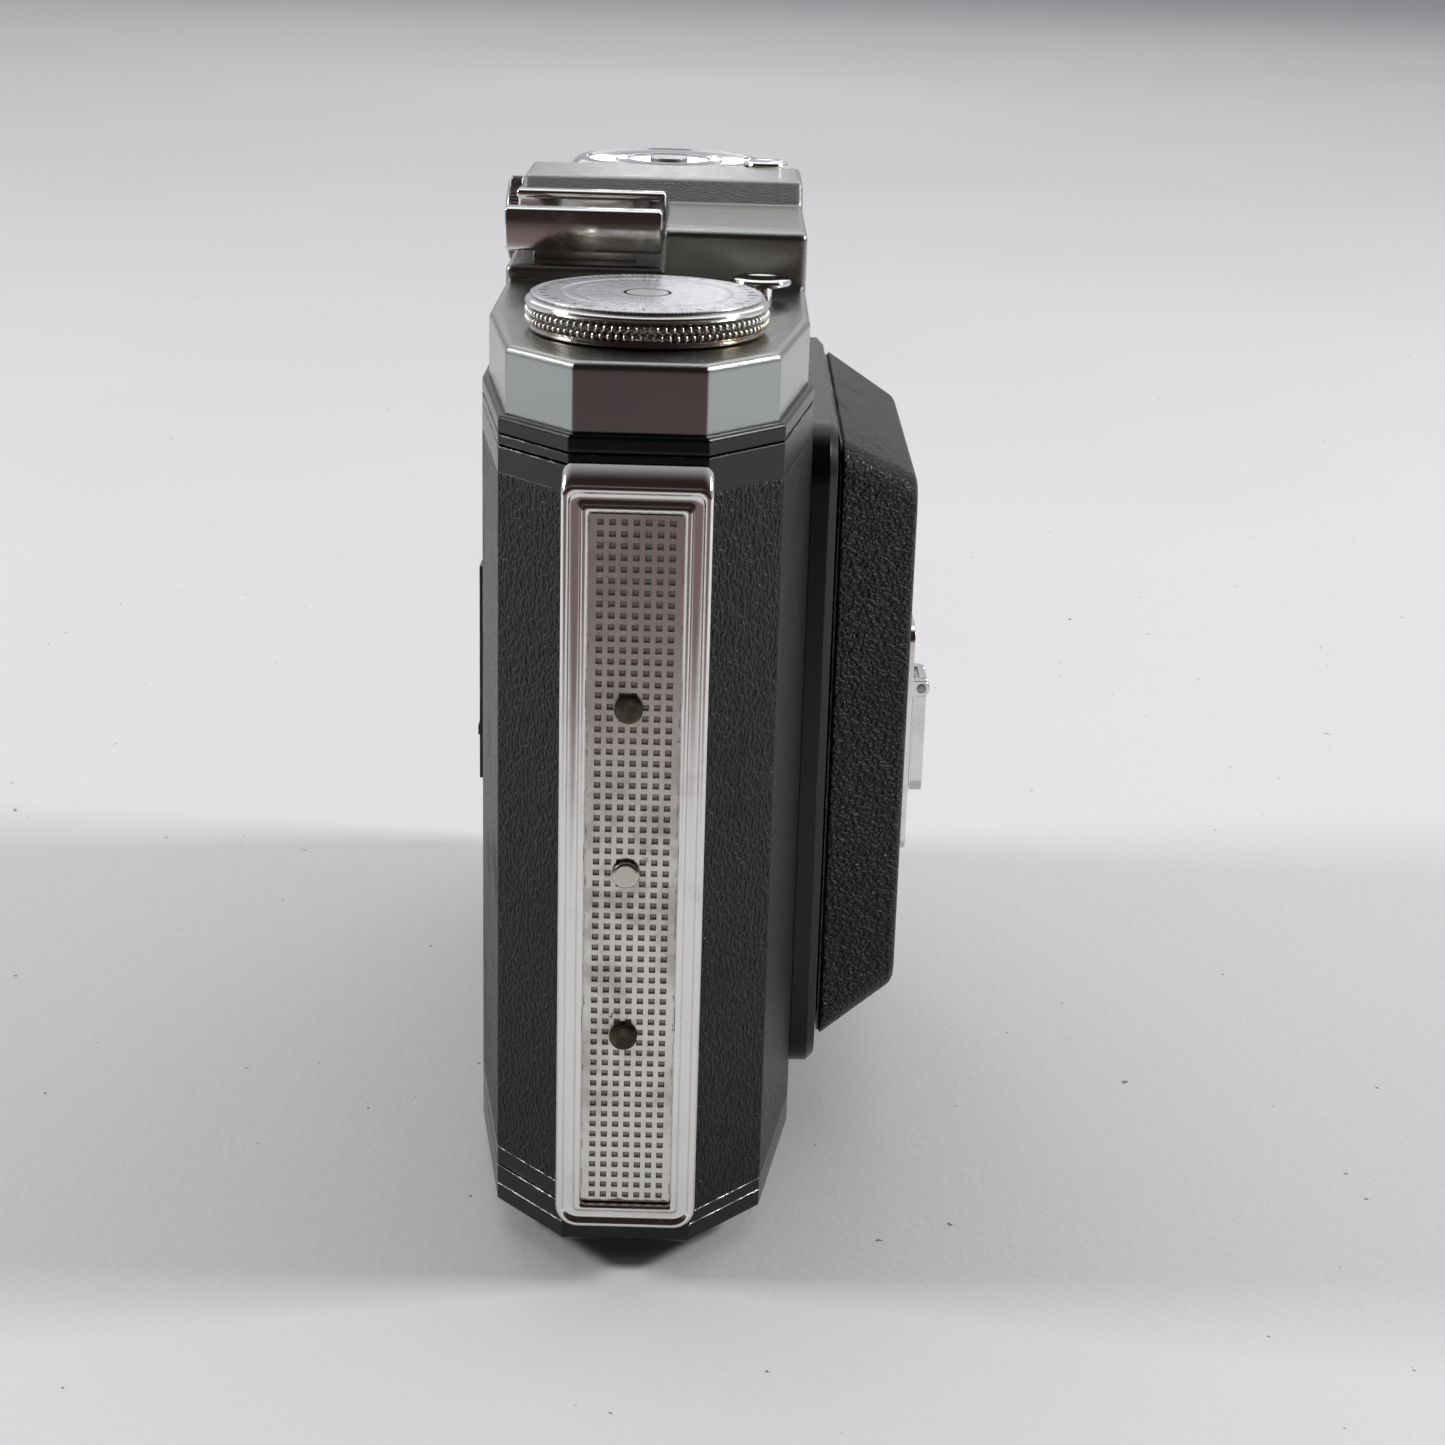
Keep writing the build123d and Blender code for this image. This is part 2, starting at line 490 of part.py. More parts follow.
def coil(xy, z_low, z_high, radius, wire, turns, name):
    """A helical compression spring standing on z_low."""
    height = z_high - z_low - 2 * wire
    with BuildPart() as piece:
        with BuildLine() as path:
            Helix(pitch=height / turns, height=height, radius=radius, center=(*xy, z_low + wire))
        with BuildSketch(Plane(origin=path.line @ 0, z_dir=path.line % 0)):
            Circle(wire)
        sweep(is_frenet=True)
    piece.part.label = name
    export_step(piece.part, f"parts/{name}.step")


button(SHUTTER_XY, 3.3, 98.3, "shutter_button")
button(BED_BUTTON_XY, 3.0, 105.0, "bed_button")
coil(SHUTTER_XY, COVER_Z + 0.1, 91.9, 1.9, 0.22, 4, "shutter_spring")
coil(BED_BUTTON_XY, COVER_Z + 0.1, 91.9, 1.9, 0.22, 4, "bed_spring")

with BuildPart() as bed_button_collar:
    with Locations((*BED_BUTTON_XY, PLATE_Z)):
        Cylinder(2.4, 3.4, align=MIN_Z)
        Cylinder(1.2 + RUN, 12, mode=Mode.SUBTRACT)
bed_button_collar.part.label = "bed_button_collar"
export_step(bed_button_collar.part, "parts/bed_button_collar.step")

# ---------------------------------------------------------------- latch at the winding end

BAR_X0, BAR_X1 = LENGTH / 2 + 0.1, LENGTH / 2 + 2.4
BAR_HALF, BAR_LOW, BAR_TOP = 7.25, 2.9, 84.5
PANEL_HALF, PANEL_LOW, PANEL_TOP, PANEL_DEEP = 5.0, 5.7, 81.8, 0.9
RIVET_Z = (25.3, 43.5, 61.2)
RIVET_Y = 0.5

with BuildPart() as latch_bar:
    with BuildSketch(Plane.YZ.offset(-BAR_X1)):
        with Locations((0, (BAR_LOW + BAR_TOP) / 2)):
            RectangleRounded(2 * BAR_HALF, BAR_TOP - BAR_LOW, 1.8)
    extrude(amount=BAR_X1 - BAR_X0)
    fillet(latch_bar.faces().sort_by(Axis.X)[0].outer_wire().edges(), 1.0)
    with Locations((-BAR_X1, 0, (PANEL_LOW + PANEL_TOP) / 2)):
        Box(2 * PANEL_DEEP, 2 * PANEL_HALF, PANEL_TOP - PANEL_LOW, mode=Mode.SUBTRACT)
    with Locations(*[Location((-BAR_X0, RIVET_Y, z), (0, 90, 0)) for z in RIVET_Z]):
        Cylinder(0.9, 8, mode=Mode.SUBTRACT)
latch_bar.part.label = "latch_bar"
export_step(latch_bar.part, "parts/latch_bar.step")

with BuildPart() as latch_panel:
    with Locations((-BAR_X1 + PANEL_DEEP, 0, (PANEL_LOW + PANEL_TOP) / 2)):
        Box(0.5, 2 * PANEL_HALF - 0.2, PANEL_TOP - PANEL_LOW - 0.2, align=(Align.MAX, Align.CENTER, Align.CENTER))
    with Locations(*[Location((-BAR_X1, RIVET_Y, z), (0, 90, 0)) for z in RIVET_Z]):
        Cylinder(0.9, 8, mode=Mode.SUBTRACT)
latch_panel.part.label = "latch_panel"
export_step(latch_panel.part, "parts/latch_panel.step")

SLIDER_X0, SLIDER_X1 = LENGTH / 2 - 2.1, LENGTH / 2 - 0.3
with BuildPart() as latch_slider:
    with Locations((-(SLIDER_X0 + SLIDER_X1) / 2, 0, 43.4)):
        Box(SLIDER_X1 - SLIDER_X0, 2 * LATCH_SLOT_HALF - 0.4, 62)
    with Locations(*[Location((-SLIDER_X1, RIVET_Y, z), (0, 90, 0)) for z in RIVET_Z]):
        Cylinder(0.9, 8, mode=Mode.SUBTRACT)
latch_slider.part.label = "latch_slider"
export_step(latch_slider.part, "parts/latch_slider.step")

with BuildPart() as latch_rivets:
    for z in RIVET_Z:
        with BuildSketch(Plane.YZ.offset(-BAR_X1 + PANEL_DEEP - 0.5)):
            with Locations((RIVET_Y, z)):
                Circle(1.45)
        extrude(amount=-0.7)
        with Locations(Location((-SLIDER_X0, RIVET_Y, z), (0, 90, 0))):
            Cylinder(0.9, BAR_X1 - PANEL_DEEP + 0.5 - SLIDER_X0, align=MAX_Z)
    fillet(latch_rivets.faces().group_by(Axis.X)[0].edges(), 0.4)
latch_rivets.part.label = "latch_rivets"
export_step(latch_rivets.part, "parts/latch_rivets.step")

# ---------------------------------------------------------------- back door

WIN_X, WIN_Z, WIN_R = -12.0, AXIS_Z, 5.0
with BuildPart() as back_door:
    with BuildSketch(Plane.XY.offset(DOOR_LOW)):
        band(0.0, DOOR_WALL, DOOR_EDGE_Y, THICK)
    extrude(amount=DOOR_TOP - DOOR_LOW)
    with BuildSketch(Plane.XY.offset(BACK_SKIN_LOW)):
        band(-1.0, SKIN, DOOR_EDGE_Y - 1, THICK)
    extrude(amount=BACK_SKIN_TOP - BACK_SKIN_LOW, mode=Mode.SUBTRACT)
    for z in (22.3, 56.0):
        with Locations((BACK_HINGE[0], BACK_HINGE[1], z)):
            Cylinder(1.3, 11.7, align=MIN_Z)
        with Locations((BACK_HINGE[0], 7.8, z)):
            Box(2.8, 1.2, 11.7, align=(Align.MAX, Align.CENTER, Align.MIN))
    with Locations((BACK_HINGE[0], BACK_HINGE[1], AXIS_Z)):
        Cylinder(0.7 + RUN, 80, mode=Mode.SUBTRACT)
    with Locations(Location((WIN_X, THICK / 2, WIN_Z), (90, 0, 0))):
        Cylinder(WIN_R - 1, 8, mode=Mode.SUBTRACT)
back_door.part.label = "back_door"
export_step(back_door.part, "parts/back_door.step")

with BuildPart() as back_leather:
    with BuildSketch(Plane.XY.offset(BACK_SKIN_LOW)):
        band(0.0, SKIN, DOOR_EDGE_Y, THICK)
    extrude(amount=BACK_SKIN_TOP - BACK_SKIN_LOW)
    with Locations(Location((WIN_X, THICK / 2, WIN_Z), (90, 0, 0))):
        Cylinder(WIN_R, 8, mode=Mode.SUBTRACT)
    for z in (22.2, 55.9):
        with Locations((BACK_HINGE[0], 7.8, z)):
            Box(3.0, 1.4, 11.9, align=(Align.MAX, Align.CENTER, Align.MIN), mode=Mode.SUBTRACT)
back_leather.part.label = "back_leather"
export_step(back_leather.part, "parts/back_leather.step")

with BuildPart() as red_window:
    with Locations(Location((WIN_X, THICK / 2 - SKIN, WIN_Z), (90, 0, 0))):
        Cylinder(WIN_R - 1, DOOR_WALL - SKIN, align=MIN_Z)
red_window.part.label = "red_window"
export_step(red_window.part, "parts/red_window.step")

COVER_TRAVEL = 11.0
with BuildPart() as window_track:
    with Locations((WIN_X, THICK / 2, WIN_Z + COVER_TRAVEL / 2)):
        Box(16, 1.6, 26, align=(Align.CENTER, Align.MIN, Align.CENTER))
        Box(12, 1.6, 27, align=(Align.CENTER, Align.MIN, Align.CENTER), mode=Mode.SUBTRACT)
    with Locations((WIN_X, THICK / 2 + 1.2, WIN_Z + COVER_TRAVEL / 2)):
        Box(14.6, 0.4, 26, align=(Align.CENTER, Align.MIN, Align.CENTER))
        Box(10, 1, 27, mode=Mode.SUBTRACT)
        Box(12.6, 0.8, 27, align=(Align.CENTER, Align.MAX, Align.CENTER), mode=Mode.SUBTRACT)
    with Locations((WIN_X, THICK / 2, WIN_Z + COVER_TRAVEL / 2)):
        Box(13, 0.4, 26, align=(Align.CENTER, Align.MIN, Align.CENTER))
    with Locations(Location((WIN_X, THICK / 2, WIN_Z), (90, 0, 0))):
        Cylinder(WIN_R - 1, 8, mode=Mode.SUBTRACT)
window_track.part.label = "window_track"
export_step(window_track.part, "parts/window_track.step")

with BuildPart() as window_cover:
    with Locations((WIN_X, THICK / 2 + 0.5, WIN_Z)):
        Box(12.2, 0.6, 12, align=(Align.CENTER, Align.MIN, Align.CENTER))
    with Locations((WIN_X, THICK / 2 + 1.0, WIN_Z - 3)):
        Box(7, 1.2, 1.2, align=(Align.CENTER, Align.MIN, Align.CENTER))
window_cover.part.label = "window_cover"
export_step(window_cover.part, "parts/window_cover.step")

with BuildPart() as pressure_plate:
    with Locations((0, 9.4, AXIS_Z)):
        Box(46, 1.2, 62, align=(Align.CENTER, Align.MIN, Align.CENTER))
    fillet(pressure_plate.edges().filter_by(Axis.Y), 2.0)
    with Locations(Location((WIN_X, 10, WIN_Z), (90, 0, 0))):
        Cylinder(3.5, 8, mode=Mode.SUBTRACT)
pressure_plate.part.label = "pressure_plate"
export_step(pressure_plate.part, "parts/pressure_plate.step")

INNER_Y = THICK / 2 - DOOR_WALL
with BuildPart() as plate_springs:
    for z in (AXIS_Z - 18, AXIS_Z + 18):
        with BuildSketch(Plane.XY.offset(z - 4)):
            with BuildLine():
                Polyline((-20, INNER_Y), (-20, INNER_Y - 0.4), (-16, INNER_Y - 0.4))
                ThreePointArc((-16, INNER_Y - 0.4), (0, 11.3), (16, INNER_Y - 0.4))
                Polyline((16, INNER_Y - 0.4), (20, INNER_Y - 0.4), (20, INNER_Y), (16, INNER_Y))
                ThreePointArc((16, INNER_Y), (0, 11.7), (-16, INNER_Y))
                Line((-16, INNER_Y), (-20, INNER_Y))
            make_face()
        extrude(amount=8)
plate_springs.part.label = "plate_springs"
export_step(plate_springs.part, "parts/plate_springs.step")

# ---------------------------------------------------------------- bed, foot

LID_WALL = 1.3
with BuildPart() as bed:
    lid_solid(LID_Y0, LID_Y1 - SKIN, SKIN, 3.0)
    lid_solid(LID_Y0 - 0.01, LID_Y1 - SKIN - LID_WALL, SKIN + LID_WALL, 2.2, mode=Mode.SUBTRACT)
    for z in (24.3, 56.0):
        with Locations((BED_HINGE[0], BED_HINGE[1], z)):
            Cylinder(1.2, 9.7, align=MIN_Z)
            Box(3.4, 1.2, 9.7, align=(Align.MAX, Align.CENTER, Align.MIN))
    with Locations((BED_HINGE[0], BED_HINGE[1], AXIS_Z)):
        Cylinder(0.6 + RUN, 80, mode=Mode.SUBTRACT)
bed.part.label = "bed"
export_step(bed.part, "parts/bed.step")

with BuildPart() as bed_leather:
    lid_solid(LID_Y0 + 0.5, LID_Y1, 0.0, 3.4)
    lid_solid(LID_Y0, LID_Y1 - SKIN, SKIN, 3.0, mode=Mode.SUBTRACT)
    for z in (24.2, 55.9):
        with Locations((BED_HINGE[0], BED_HINGE[1], z)):
            Box(3.6, 1.4, 9.9, align=(Align.MAX, Align.CENTER, Align.MIN), mode=Mode.SUBTRACT)
bed_leather.part.label = "bed_leather"
export_step(bed_leather.part, "parts/bed_leather.step")

FOOT_X, FOOT_PIVOT_Z, FOOT_PIVOT_Y = -18.0, 50.6, -32.3
with BuildPart() as foot_plate:
    with BuildSketch(Plane.XZ.offset(LID_Y1)):
        with Locations((FOOT_X, 44.3)):
            RectangleRounded(9.0, 27.5, 1.5)
    extrude(amount=0.7)
    for x in (-2.9, 2.9):
        with Locations(Location((FOOT_X + x, FOOT_PIVOT_Y, FOOT_PIVOT_Z), (0, 90, 0))):
            Cylinder(0.95, 1.2)
        with Locations((FOOT_X + x, FOOT_PIVOT_Y, FOOT_PIVOT_Z)):
            Box(1.2, 1.5, 1.9, align=(Align.CENTER, Align.MIN, Align.CENTER))
    with Locations(Location((FOOT_X, FOOT_PIVOT_Y, FOOT_PIVOT_Z), (0, 90, 0))):
        Cylinder(0.5, 12, mode=Mode.SUBTRACT)
foot_plate.part.label = "foot_plate"
export_step(foot_plate.part, "parts/foot_plate.step")

with BuildPart() as foot_pin:
    with Locations(Location((FOOT_X, FOOT_PIVOT_Y, FOOT_PIVOT_Z), (0, 90, 0))):
        Cylinder(0.5, 7.4)
foot_pin.part.label = "foot_pin"
export_step(foot_pin.part, "parts/foot_pin.step")

with BuildPart() as foot_leg:
    with BuildSketch(Plane.XZ.offset(-FOOT_PIVOT_Y - 0.7)):
        with Locations((FOOT_X, FOOT_PIVOT_Z - 6.5)):
            SlotOverall(14.4, 4.2, rotation=90)
    extrude(amount=1.4)
    with Locations(Location((FOOT_X, FOOT_PIVOT_Y, FOOT_PIVOT_Z), (0, 90, 0))):
        Cylinder(0.95, 4.2)
        Cylinder(0.5 + RUN, 12, mode=Mode.SUBTRACT)
foot_leg.part.label = "foot_leg"
export_step(foot_leg.part, "parts/foot_leg.step")

# ---------------------------------------------------------------- bellows, standard, shutter and lens

STAND_Y = 12.0  # rear face of the standard is at -STAND_Y
LENS_HOLE_R = 12.0
with BuildPart() as bellows:
    for depth, wide, tall in ((-5.7, 46.0, 60.0), (STAND_Y - 0.1, 40.0, 42.0)):
        with BuildSketch(front_plane(depth)):
            RectangleRounded(wide, tall, 2.0)
    loft()
    for depth, wide, tall in ((-5.8, 42.4, 57.0), (STAND_Y, 34.0, 36.0)):
        with BuildSketch(front_plane(depth)):
            RectangleRounded(wide, tall, 2.0)
    loft(mode=Mode.SUBTRACT)
bellows.part.label = "bellows"
export_step(bellows.part, "parts/bellows.step")

with BuildPart() as lens_standard:
    with BuildSketch(front_plane(STAND_Y)):
        RectangleRounded(44.0, 46.0, 3.0)
        Circle(LENS_HOLE_R, mode=Mode.SUBTRACT)
    extrude(amount=1.6)
    with Locations(*[(x, -STAND_Y - 1.6, AXIS_Z) for x in (-22.0, 22.0)]):
        Box(1.6, 3.0, 30.0, align=(Align.CENTER, Align.MAX, Align.CENTER))
lens_standard.part.label = "lens_standard"
export_step(lens_standard.part, "parts/lens_standard.step")


def lens_disc(radius, y_front, y_back):
    """A disc on the lens axis, between two distances in front of the origin plane."""
    with Locations(Location((0, -y_front, AXIS_Z), (90, 0, 0))):
        Cylinder(radius, y_front - y_back, align=MAX_Z)


def lens_bore(radius):
    with Locations(Location((0, 0, AXIS_Z), (90, 0, 0))):
        Cylinder(radius, 120, mode=Mode.SUBTRACT)


with BuildPart() as shutter_housing:
    lens_disc(19.5, 19.0, 14.2)
    lens_disc(11.0, 14.2, 6.0)
    lens_bore(9.0)
shutter_housing.part.label = "shutter_housing"
export_step(shutter_housing.part, "parts/shutter_housing.step")

with BuildPart() as speed_ring:
    lens_disc(19.8, 21.0, 19.15)
    lens_bore(12.4)
speed_ring.part.label = "speed_ring"
export_step(speed_ring.part, "parts/speed_ring.step")

with BuildPart() as lens_mount:
    lens_disc(12.2, 22.6, 19.0)
    lens_disc(11.0, 24.4, 22.6)
    lens_bore(9.0)
    chamfer(lens_mount.faces().sort_by(Axis.Y)[0].outer_wire().edges(), 0.4)
lens_mount.part.label = "lens_mount"
export_step(lens_mount.part, "parts/lens_mount.step")

with BuildPart() as front_lens:
    with BuildSketch(Plane.YZ):
        with BuildLine():
            Line((-21.0, 0), (-24.0, 0))
            ThreePointArc((-24.0, 0), (-23.6, 5.0), (-22.6, 9.0))
            Polyline((-22.6, 9.0), (-21.0, 9.0), (-21.0, 0))
        make_face()
    revolve(axis=Axis.Y)
front_lens_placed = front_lens.part.moved(Location((0, 0, AXIS_Z)))
front_lens_placed.label = "front_lens"
export_step(front_lens_placed, "parts/front_lens.step")

with BuildPart() as rear_lens:
    lens_disc(9.0, 9.0, 6.6)
rear_lens.part.label = "rear_lens"
export_step(rear_lens.part, "parts/rear_lens.step")

with BuildPart() as shutter_blades:
    lens_disc(9.0, 16.6, 16.0)
shutter_blades.part.label = "shutter_blades"
export_step(shutter_blades.part, "parts/shutter_blades.step")
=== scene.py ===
"""The folding rollfilm camera's looks: finishes for every CAD piece, and finer pieces where the eye rests."""

import json
from math import cos, pi, radians, sin, tau

import bpy
from mathutils import Matrix, Quaternion, Vector

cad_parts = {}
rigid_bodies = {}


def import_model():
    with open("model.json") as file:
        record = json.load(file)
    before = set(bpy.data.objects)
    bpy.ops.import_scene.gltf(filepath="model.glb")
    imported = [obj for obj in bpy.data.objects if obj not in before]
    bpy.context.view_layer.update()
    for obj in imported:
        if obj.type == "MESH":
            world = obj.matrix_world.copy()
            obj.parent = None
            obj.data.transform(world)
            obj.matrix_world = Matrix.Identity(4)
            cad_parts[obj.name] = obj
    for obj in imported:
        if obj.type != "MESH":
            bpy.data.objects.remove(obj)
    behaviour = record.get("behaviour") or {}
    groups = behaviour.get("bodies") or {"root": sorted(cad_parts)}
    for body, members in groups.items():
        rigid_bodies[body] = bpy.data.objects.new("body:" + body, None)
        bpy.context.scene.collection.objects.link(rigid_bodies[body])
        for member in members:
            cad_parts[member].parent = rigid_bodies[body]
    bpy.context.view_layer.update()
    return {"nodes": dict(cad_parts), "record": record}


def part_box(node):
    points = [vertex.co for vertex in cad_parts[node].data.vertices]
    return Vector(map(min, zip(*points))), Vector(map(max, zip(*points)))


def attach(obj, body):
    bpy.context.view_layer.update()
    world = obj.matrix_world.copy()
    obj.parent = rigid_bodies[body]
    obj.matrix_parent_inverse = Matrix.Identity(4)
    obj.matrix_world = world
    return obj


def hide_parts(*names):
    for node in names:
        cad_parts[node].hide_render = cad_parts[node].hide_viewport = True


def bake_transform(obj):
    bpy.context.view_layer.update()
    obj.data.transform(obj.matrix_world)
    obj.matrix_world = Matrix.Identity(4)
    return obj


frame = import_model()
NODES = frame["nodes"]
BODY_OF = {node: body for body, nodes in frame["record"]["behaviour"]["bodies"].items() for node in nodes}
SLOT_OF = {part["node"]: part["material_slot"] for part in frame["record"]["subparts"]}
MM = 0.001

# Centres in millimetres: winding knob, focusing knob, eyepiece, and the lens above the base.
WIND_X, FOCUS_X, EYE_X, EYE_Z, LENS_Z = -42.9, 43.1, 21.5, 98.1, 45.0


# ---------------------------------------------------------------- bench tools


def mm(*values):
    """Millimetres to a vector in metres."""
    return Vector(values) * MM


def clear():
    bpy.ops.object.select_all(action="DESELECT")


def take(piece):
    """Makes a piece the only one selected."""
    clear()
    piece.select_set(True)
    bpy.context.view_layer.objects.active = piece


def settle(name, turn=None, at=None):
    """Names the new primitive and puts its place, turn and size into its mesh."""
    piece = bpy.context.object
    piece.name = piece.data.name = name
    if turn:
        piece.rotation_euler = turn
    if at:
        piece.location = at
    take(piece)
    bpy.ops.object.transform_apply(location=True, rotation=True, scale=True)
    return piece


def mark(piece, kind, test):
    """Selects the faces, edges or vertices that pass a test on their middle (and normal, for faces)."""
    mesh = piece.data
    take(piece)
    bpy.ops.object.mode_set(mode="EDIT")
    bpy.ops.mesh.select_all(action="DESELECT")
    bpy.ops.mesh.select_mode(type={"faces": "FACE", "edges": "EDGE", "verts": "VERT"}[kind])
    bpy.ops.object.mode_set(mode="OBJECT")
    if kind == "faces":
        for face in mesh.polygons:
            face.select = test(face.center / MM, face.normal)
    elif kind == "edges":
        for edge in mesh.edges:
            ends = [mesh.vertices[v].co / MM for v in edge.vertices]
            edge.select = test(*ends)
    else:
        for vert in mesh.vertices:
            vert.select = test(vert.co / MM)
    bpy.ops.object.mode_set(mode="EDIT")


def done(piece):
    bpy.ops.object.mode_set(mode="OBJECT")
    return piece


def modify(piece, kind, **settings):
    """Adds a modifier with these settings and applies it."""
    take(piece)
    modifier = piece.modifiers.new(kind.title(), kind)
    for key, value in settings.items():
        setattr(modifier, key, value)
    bpy.ops.object.modifier_apply(modifier=modifier.name)


def soften(piece, width, segments=2, angle=30.0):
    """Rounds the sharp edges of a piece and shades it smooth between them."""
    modify(piece, "BEVEL", width=width * MM, segments=segments, limit_method="ANGLE",
           angle_limit=radians(angle), harden_normals=False)
    smooth(piece, angle + 8)


def smooth(piece, angle=35.0):
    take(piece)
    bpy.ops.object.shade_smooth_by_angle(angle=radians(angle))


def outward(piece):
    """Merges doubled points and turns every face outwards."""
    take(piece)
    bpy.ops.object.mode_set(mode="EDIT")
    bpy.ops.mesh.select_all(action="SELECT")
    bpy.ops.mesh.remove_doubles(threshold=1e-6)
    bpy.ops.mesh.normals_make_consistent(inside=False)
    return done(piece)


def turned(name, profile, steps=96):
    """A lathe-turned piece about Z: profile is radius and height pairs, in millimetres, from axis to axis."""
    mesh = bpy.data.meshes.new(name)
    points = [(r * MM, 0, z * MM) for r, z in profile]
    mesh.from_pydata(points, [(i, i + 1) for i in range(len(profile) - 1)], [])
    piece = bpy.data.objects.new(name, mesh)
    bpy.context.collection.objects.link(piece)
    take(piece)
    bpy.ops.object.mode_set(mode="EDIT")
    bpy.ops.mesh.select_all(action="SELECT")
    bpy.ops.mesh.spin(steps=steps, angle=tau, center=(0, 0, 0), axis=(0, 0, 1))
    bpy.ops.object.mode_set(mode="OBJECT")
    return outward(piece)


def extruded(name, outline, start, depth):
    """A prism along Y from an outline of X and Z pairs, in millimetres."""
    mesh = bpy.data.meshes.new(name)
    mesh.from_pydata([(x * MM, start * MM, z * MM) for x, z in outline], [], [range(len(outline))])
    piece = bpy.data.objects.new(name, mesh)
    bpy.context.collection.objects.link(piece)
    take(piece)
    bpy.ops.object.mode_set(mode="EDIT")
    bpy.ops.mesh.select_all(action="SELECT")
    bpy.ops.mesh.extrude_region_move(TRANSFORM_OT_translate={"value": (0, depth * MM, 0)})
    bpy.ops.object.mode_set(mode="OBJECT")
    return outward(piece)


def ring_of(piece, count, axis_at=(0, 0)):
    """Joins copies of a piece spread evenly around a vertical axis into one mesh."""
    centre = Matrix.Translation(mm(*axis_at, 0))
    copies = [piece]
    for i in range(1, count):
        copy = piece.copy()
        copy.data = piece.data.copy()
        copy.data.transform(centre @ Matrix.Rotation(tau * i / count, 4, "Z") @ centre.inverted())
        bpy.context.collection.objects.link(copy)
        copies.append(copy)
    return joined(copies)


def joined(pieces):
    take(pieces[0])
    for piece in pieces:
        piece.select_set(True)
    bpy.ops.object.join()
    return bpy.context.object


def moved(piece, turn=(0, 0, 0), at=(0, 0, 0)):
    """Turns a piece about the origin, then carries it to a place in millimetres."""
    piece.rotation_euler = [radians(a) for a in turn]
    piece.location = mm(*at)
    take(piece)
    bpy.ops.object.transform_apply(location=True, rotation=True, scale=True)
    return piece


def knurled(piece, test, edge=0.1, depth=0.2):
    """Cuts a groove field into the faces that pass the test, each face becoming one sunk cell."""
    mark(piece, "faces", test)
    bpy.ops.mesh.inset(thickness=edge * MM, depth=-depth * MM, use_individual=True)
    return done(piece)


def upright(normal):
    """Whether a face of a turned piece looks straight out from its axis."""
    return abs(normal.z) < 0.1


def stand_for(piece, finish, *nodes):
    """Puts a piece in the place of CAD nodes: same body, its own finish."""
    piece.data.materials.clear()
    piece.data.materials.append(finish)
    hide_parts(*nodes)
    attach(piece, BODY_OF[nodes[0]])
    return piece


# ---------------------------------------------------------------- shader groups


class Nodes:
    """Short hand for adding and wiring the nodes of one tree."""

    def __init__(self, tree):
        self.tree = tree

    def add(self, kind, **settings):
        node = self.tree.nodes.new("ShaderNode" + kind)
        for key, value in settings.items():
            if key in node.inputs:
                node.inputs[key].default_value = value
            else:
                setattr(node, key, value)
        return node

    def wire(self, source, target):
        self.tree.links.new(source, target)

    def math(self, operation, a, b=None, clamp=False):
        node = self.add("Math", operation=operation, use_clamp=clamp)
        for socket, value in zip(node.inputs, (a, b)):
            self.feed(socket, value)
        return node.outputs[0]

    def feed(self, socket, value):
        if value is None:
            return
        if isinstance(value, (int, float, tuple)):
            socket.default_value = value
        else:
            self.wire(value, socket)

    def ramp(self, value, low, high, out_low=0.0, out_high=1.0):
        """Smooth step of a value from low..high to out_low..out_high."""
        node = self.add("MapRange", interpolation_type="SMOOTHSTEP")
        self.feed(node.inputs["Value"], value)
        for key, number in zip(("From Min", "From Max", "To Min", "To Max"), (low, high, out_low, out_high)):
            self.feed(node.inputs[key], number)
        return node.outputs["Result"]

    def mix(self, factor, a, b):
        node = self.add("Mix", data_type="RGBA")
        self.feed(node.inputs["Factor"], factor)
        self.feed(node.inputs[6], a)
        self.feed(node.inputs[7], b)
        return node.outputs[2]

    def noise(self, at, scale, detail=3.0, rough=0.55):
        node = self.add("TexNoise", Scale=scale, Detail=detail, Roughness=rough)
        self.wire(at, node.inputs["Vector"])
        return node.outputs["Fac"]

    def scaled(self, at, scale):
        node = self.add("Mapping", Scale=scale)
        self.wire(at, node.inputs["Vector"])
        return node.outputs["Vector"]


def new_group(name, inputs, outputs):
    """An empty node group with float inputs (name, default) and typed outputs (name, type)."""
    tree = bpy.data.node_groups.new(name, "ShaderNodeTree")
    for socket, value in inputs:
        made = tree.interface.new_socket(name=socket, in_out="INPUT", socket_type="NodeSocketFloat")
        made.default_value = value
    for socket, kind in outputs:
        tree.interface.new_socket(name=socket, in_out="OUTPUT", socket_type="NodeSocket" + kind)
    nodes = Nodes(tree)
    source = tree.nodes.new("NodeGroupInput")
    sink = tree.nodes.new("NodeGroupOutput")
    return nodes, source.outputs, sink.inputs


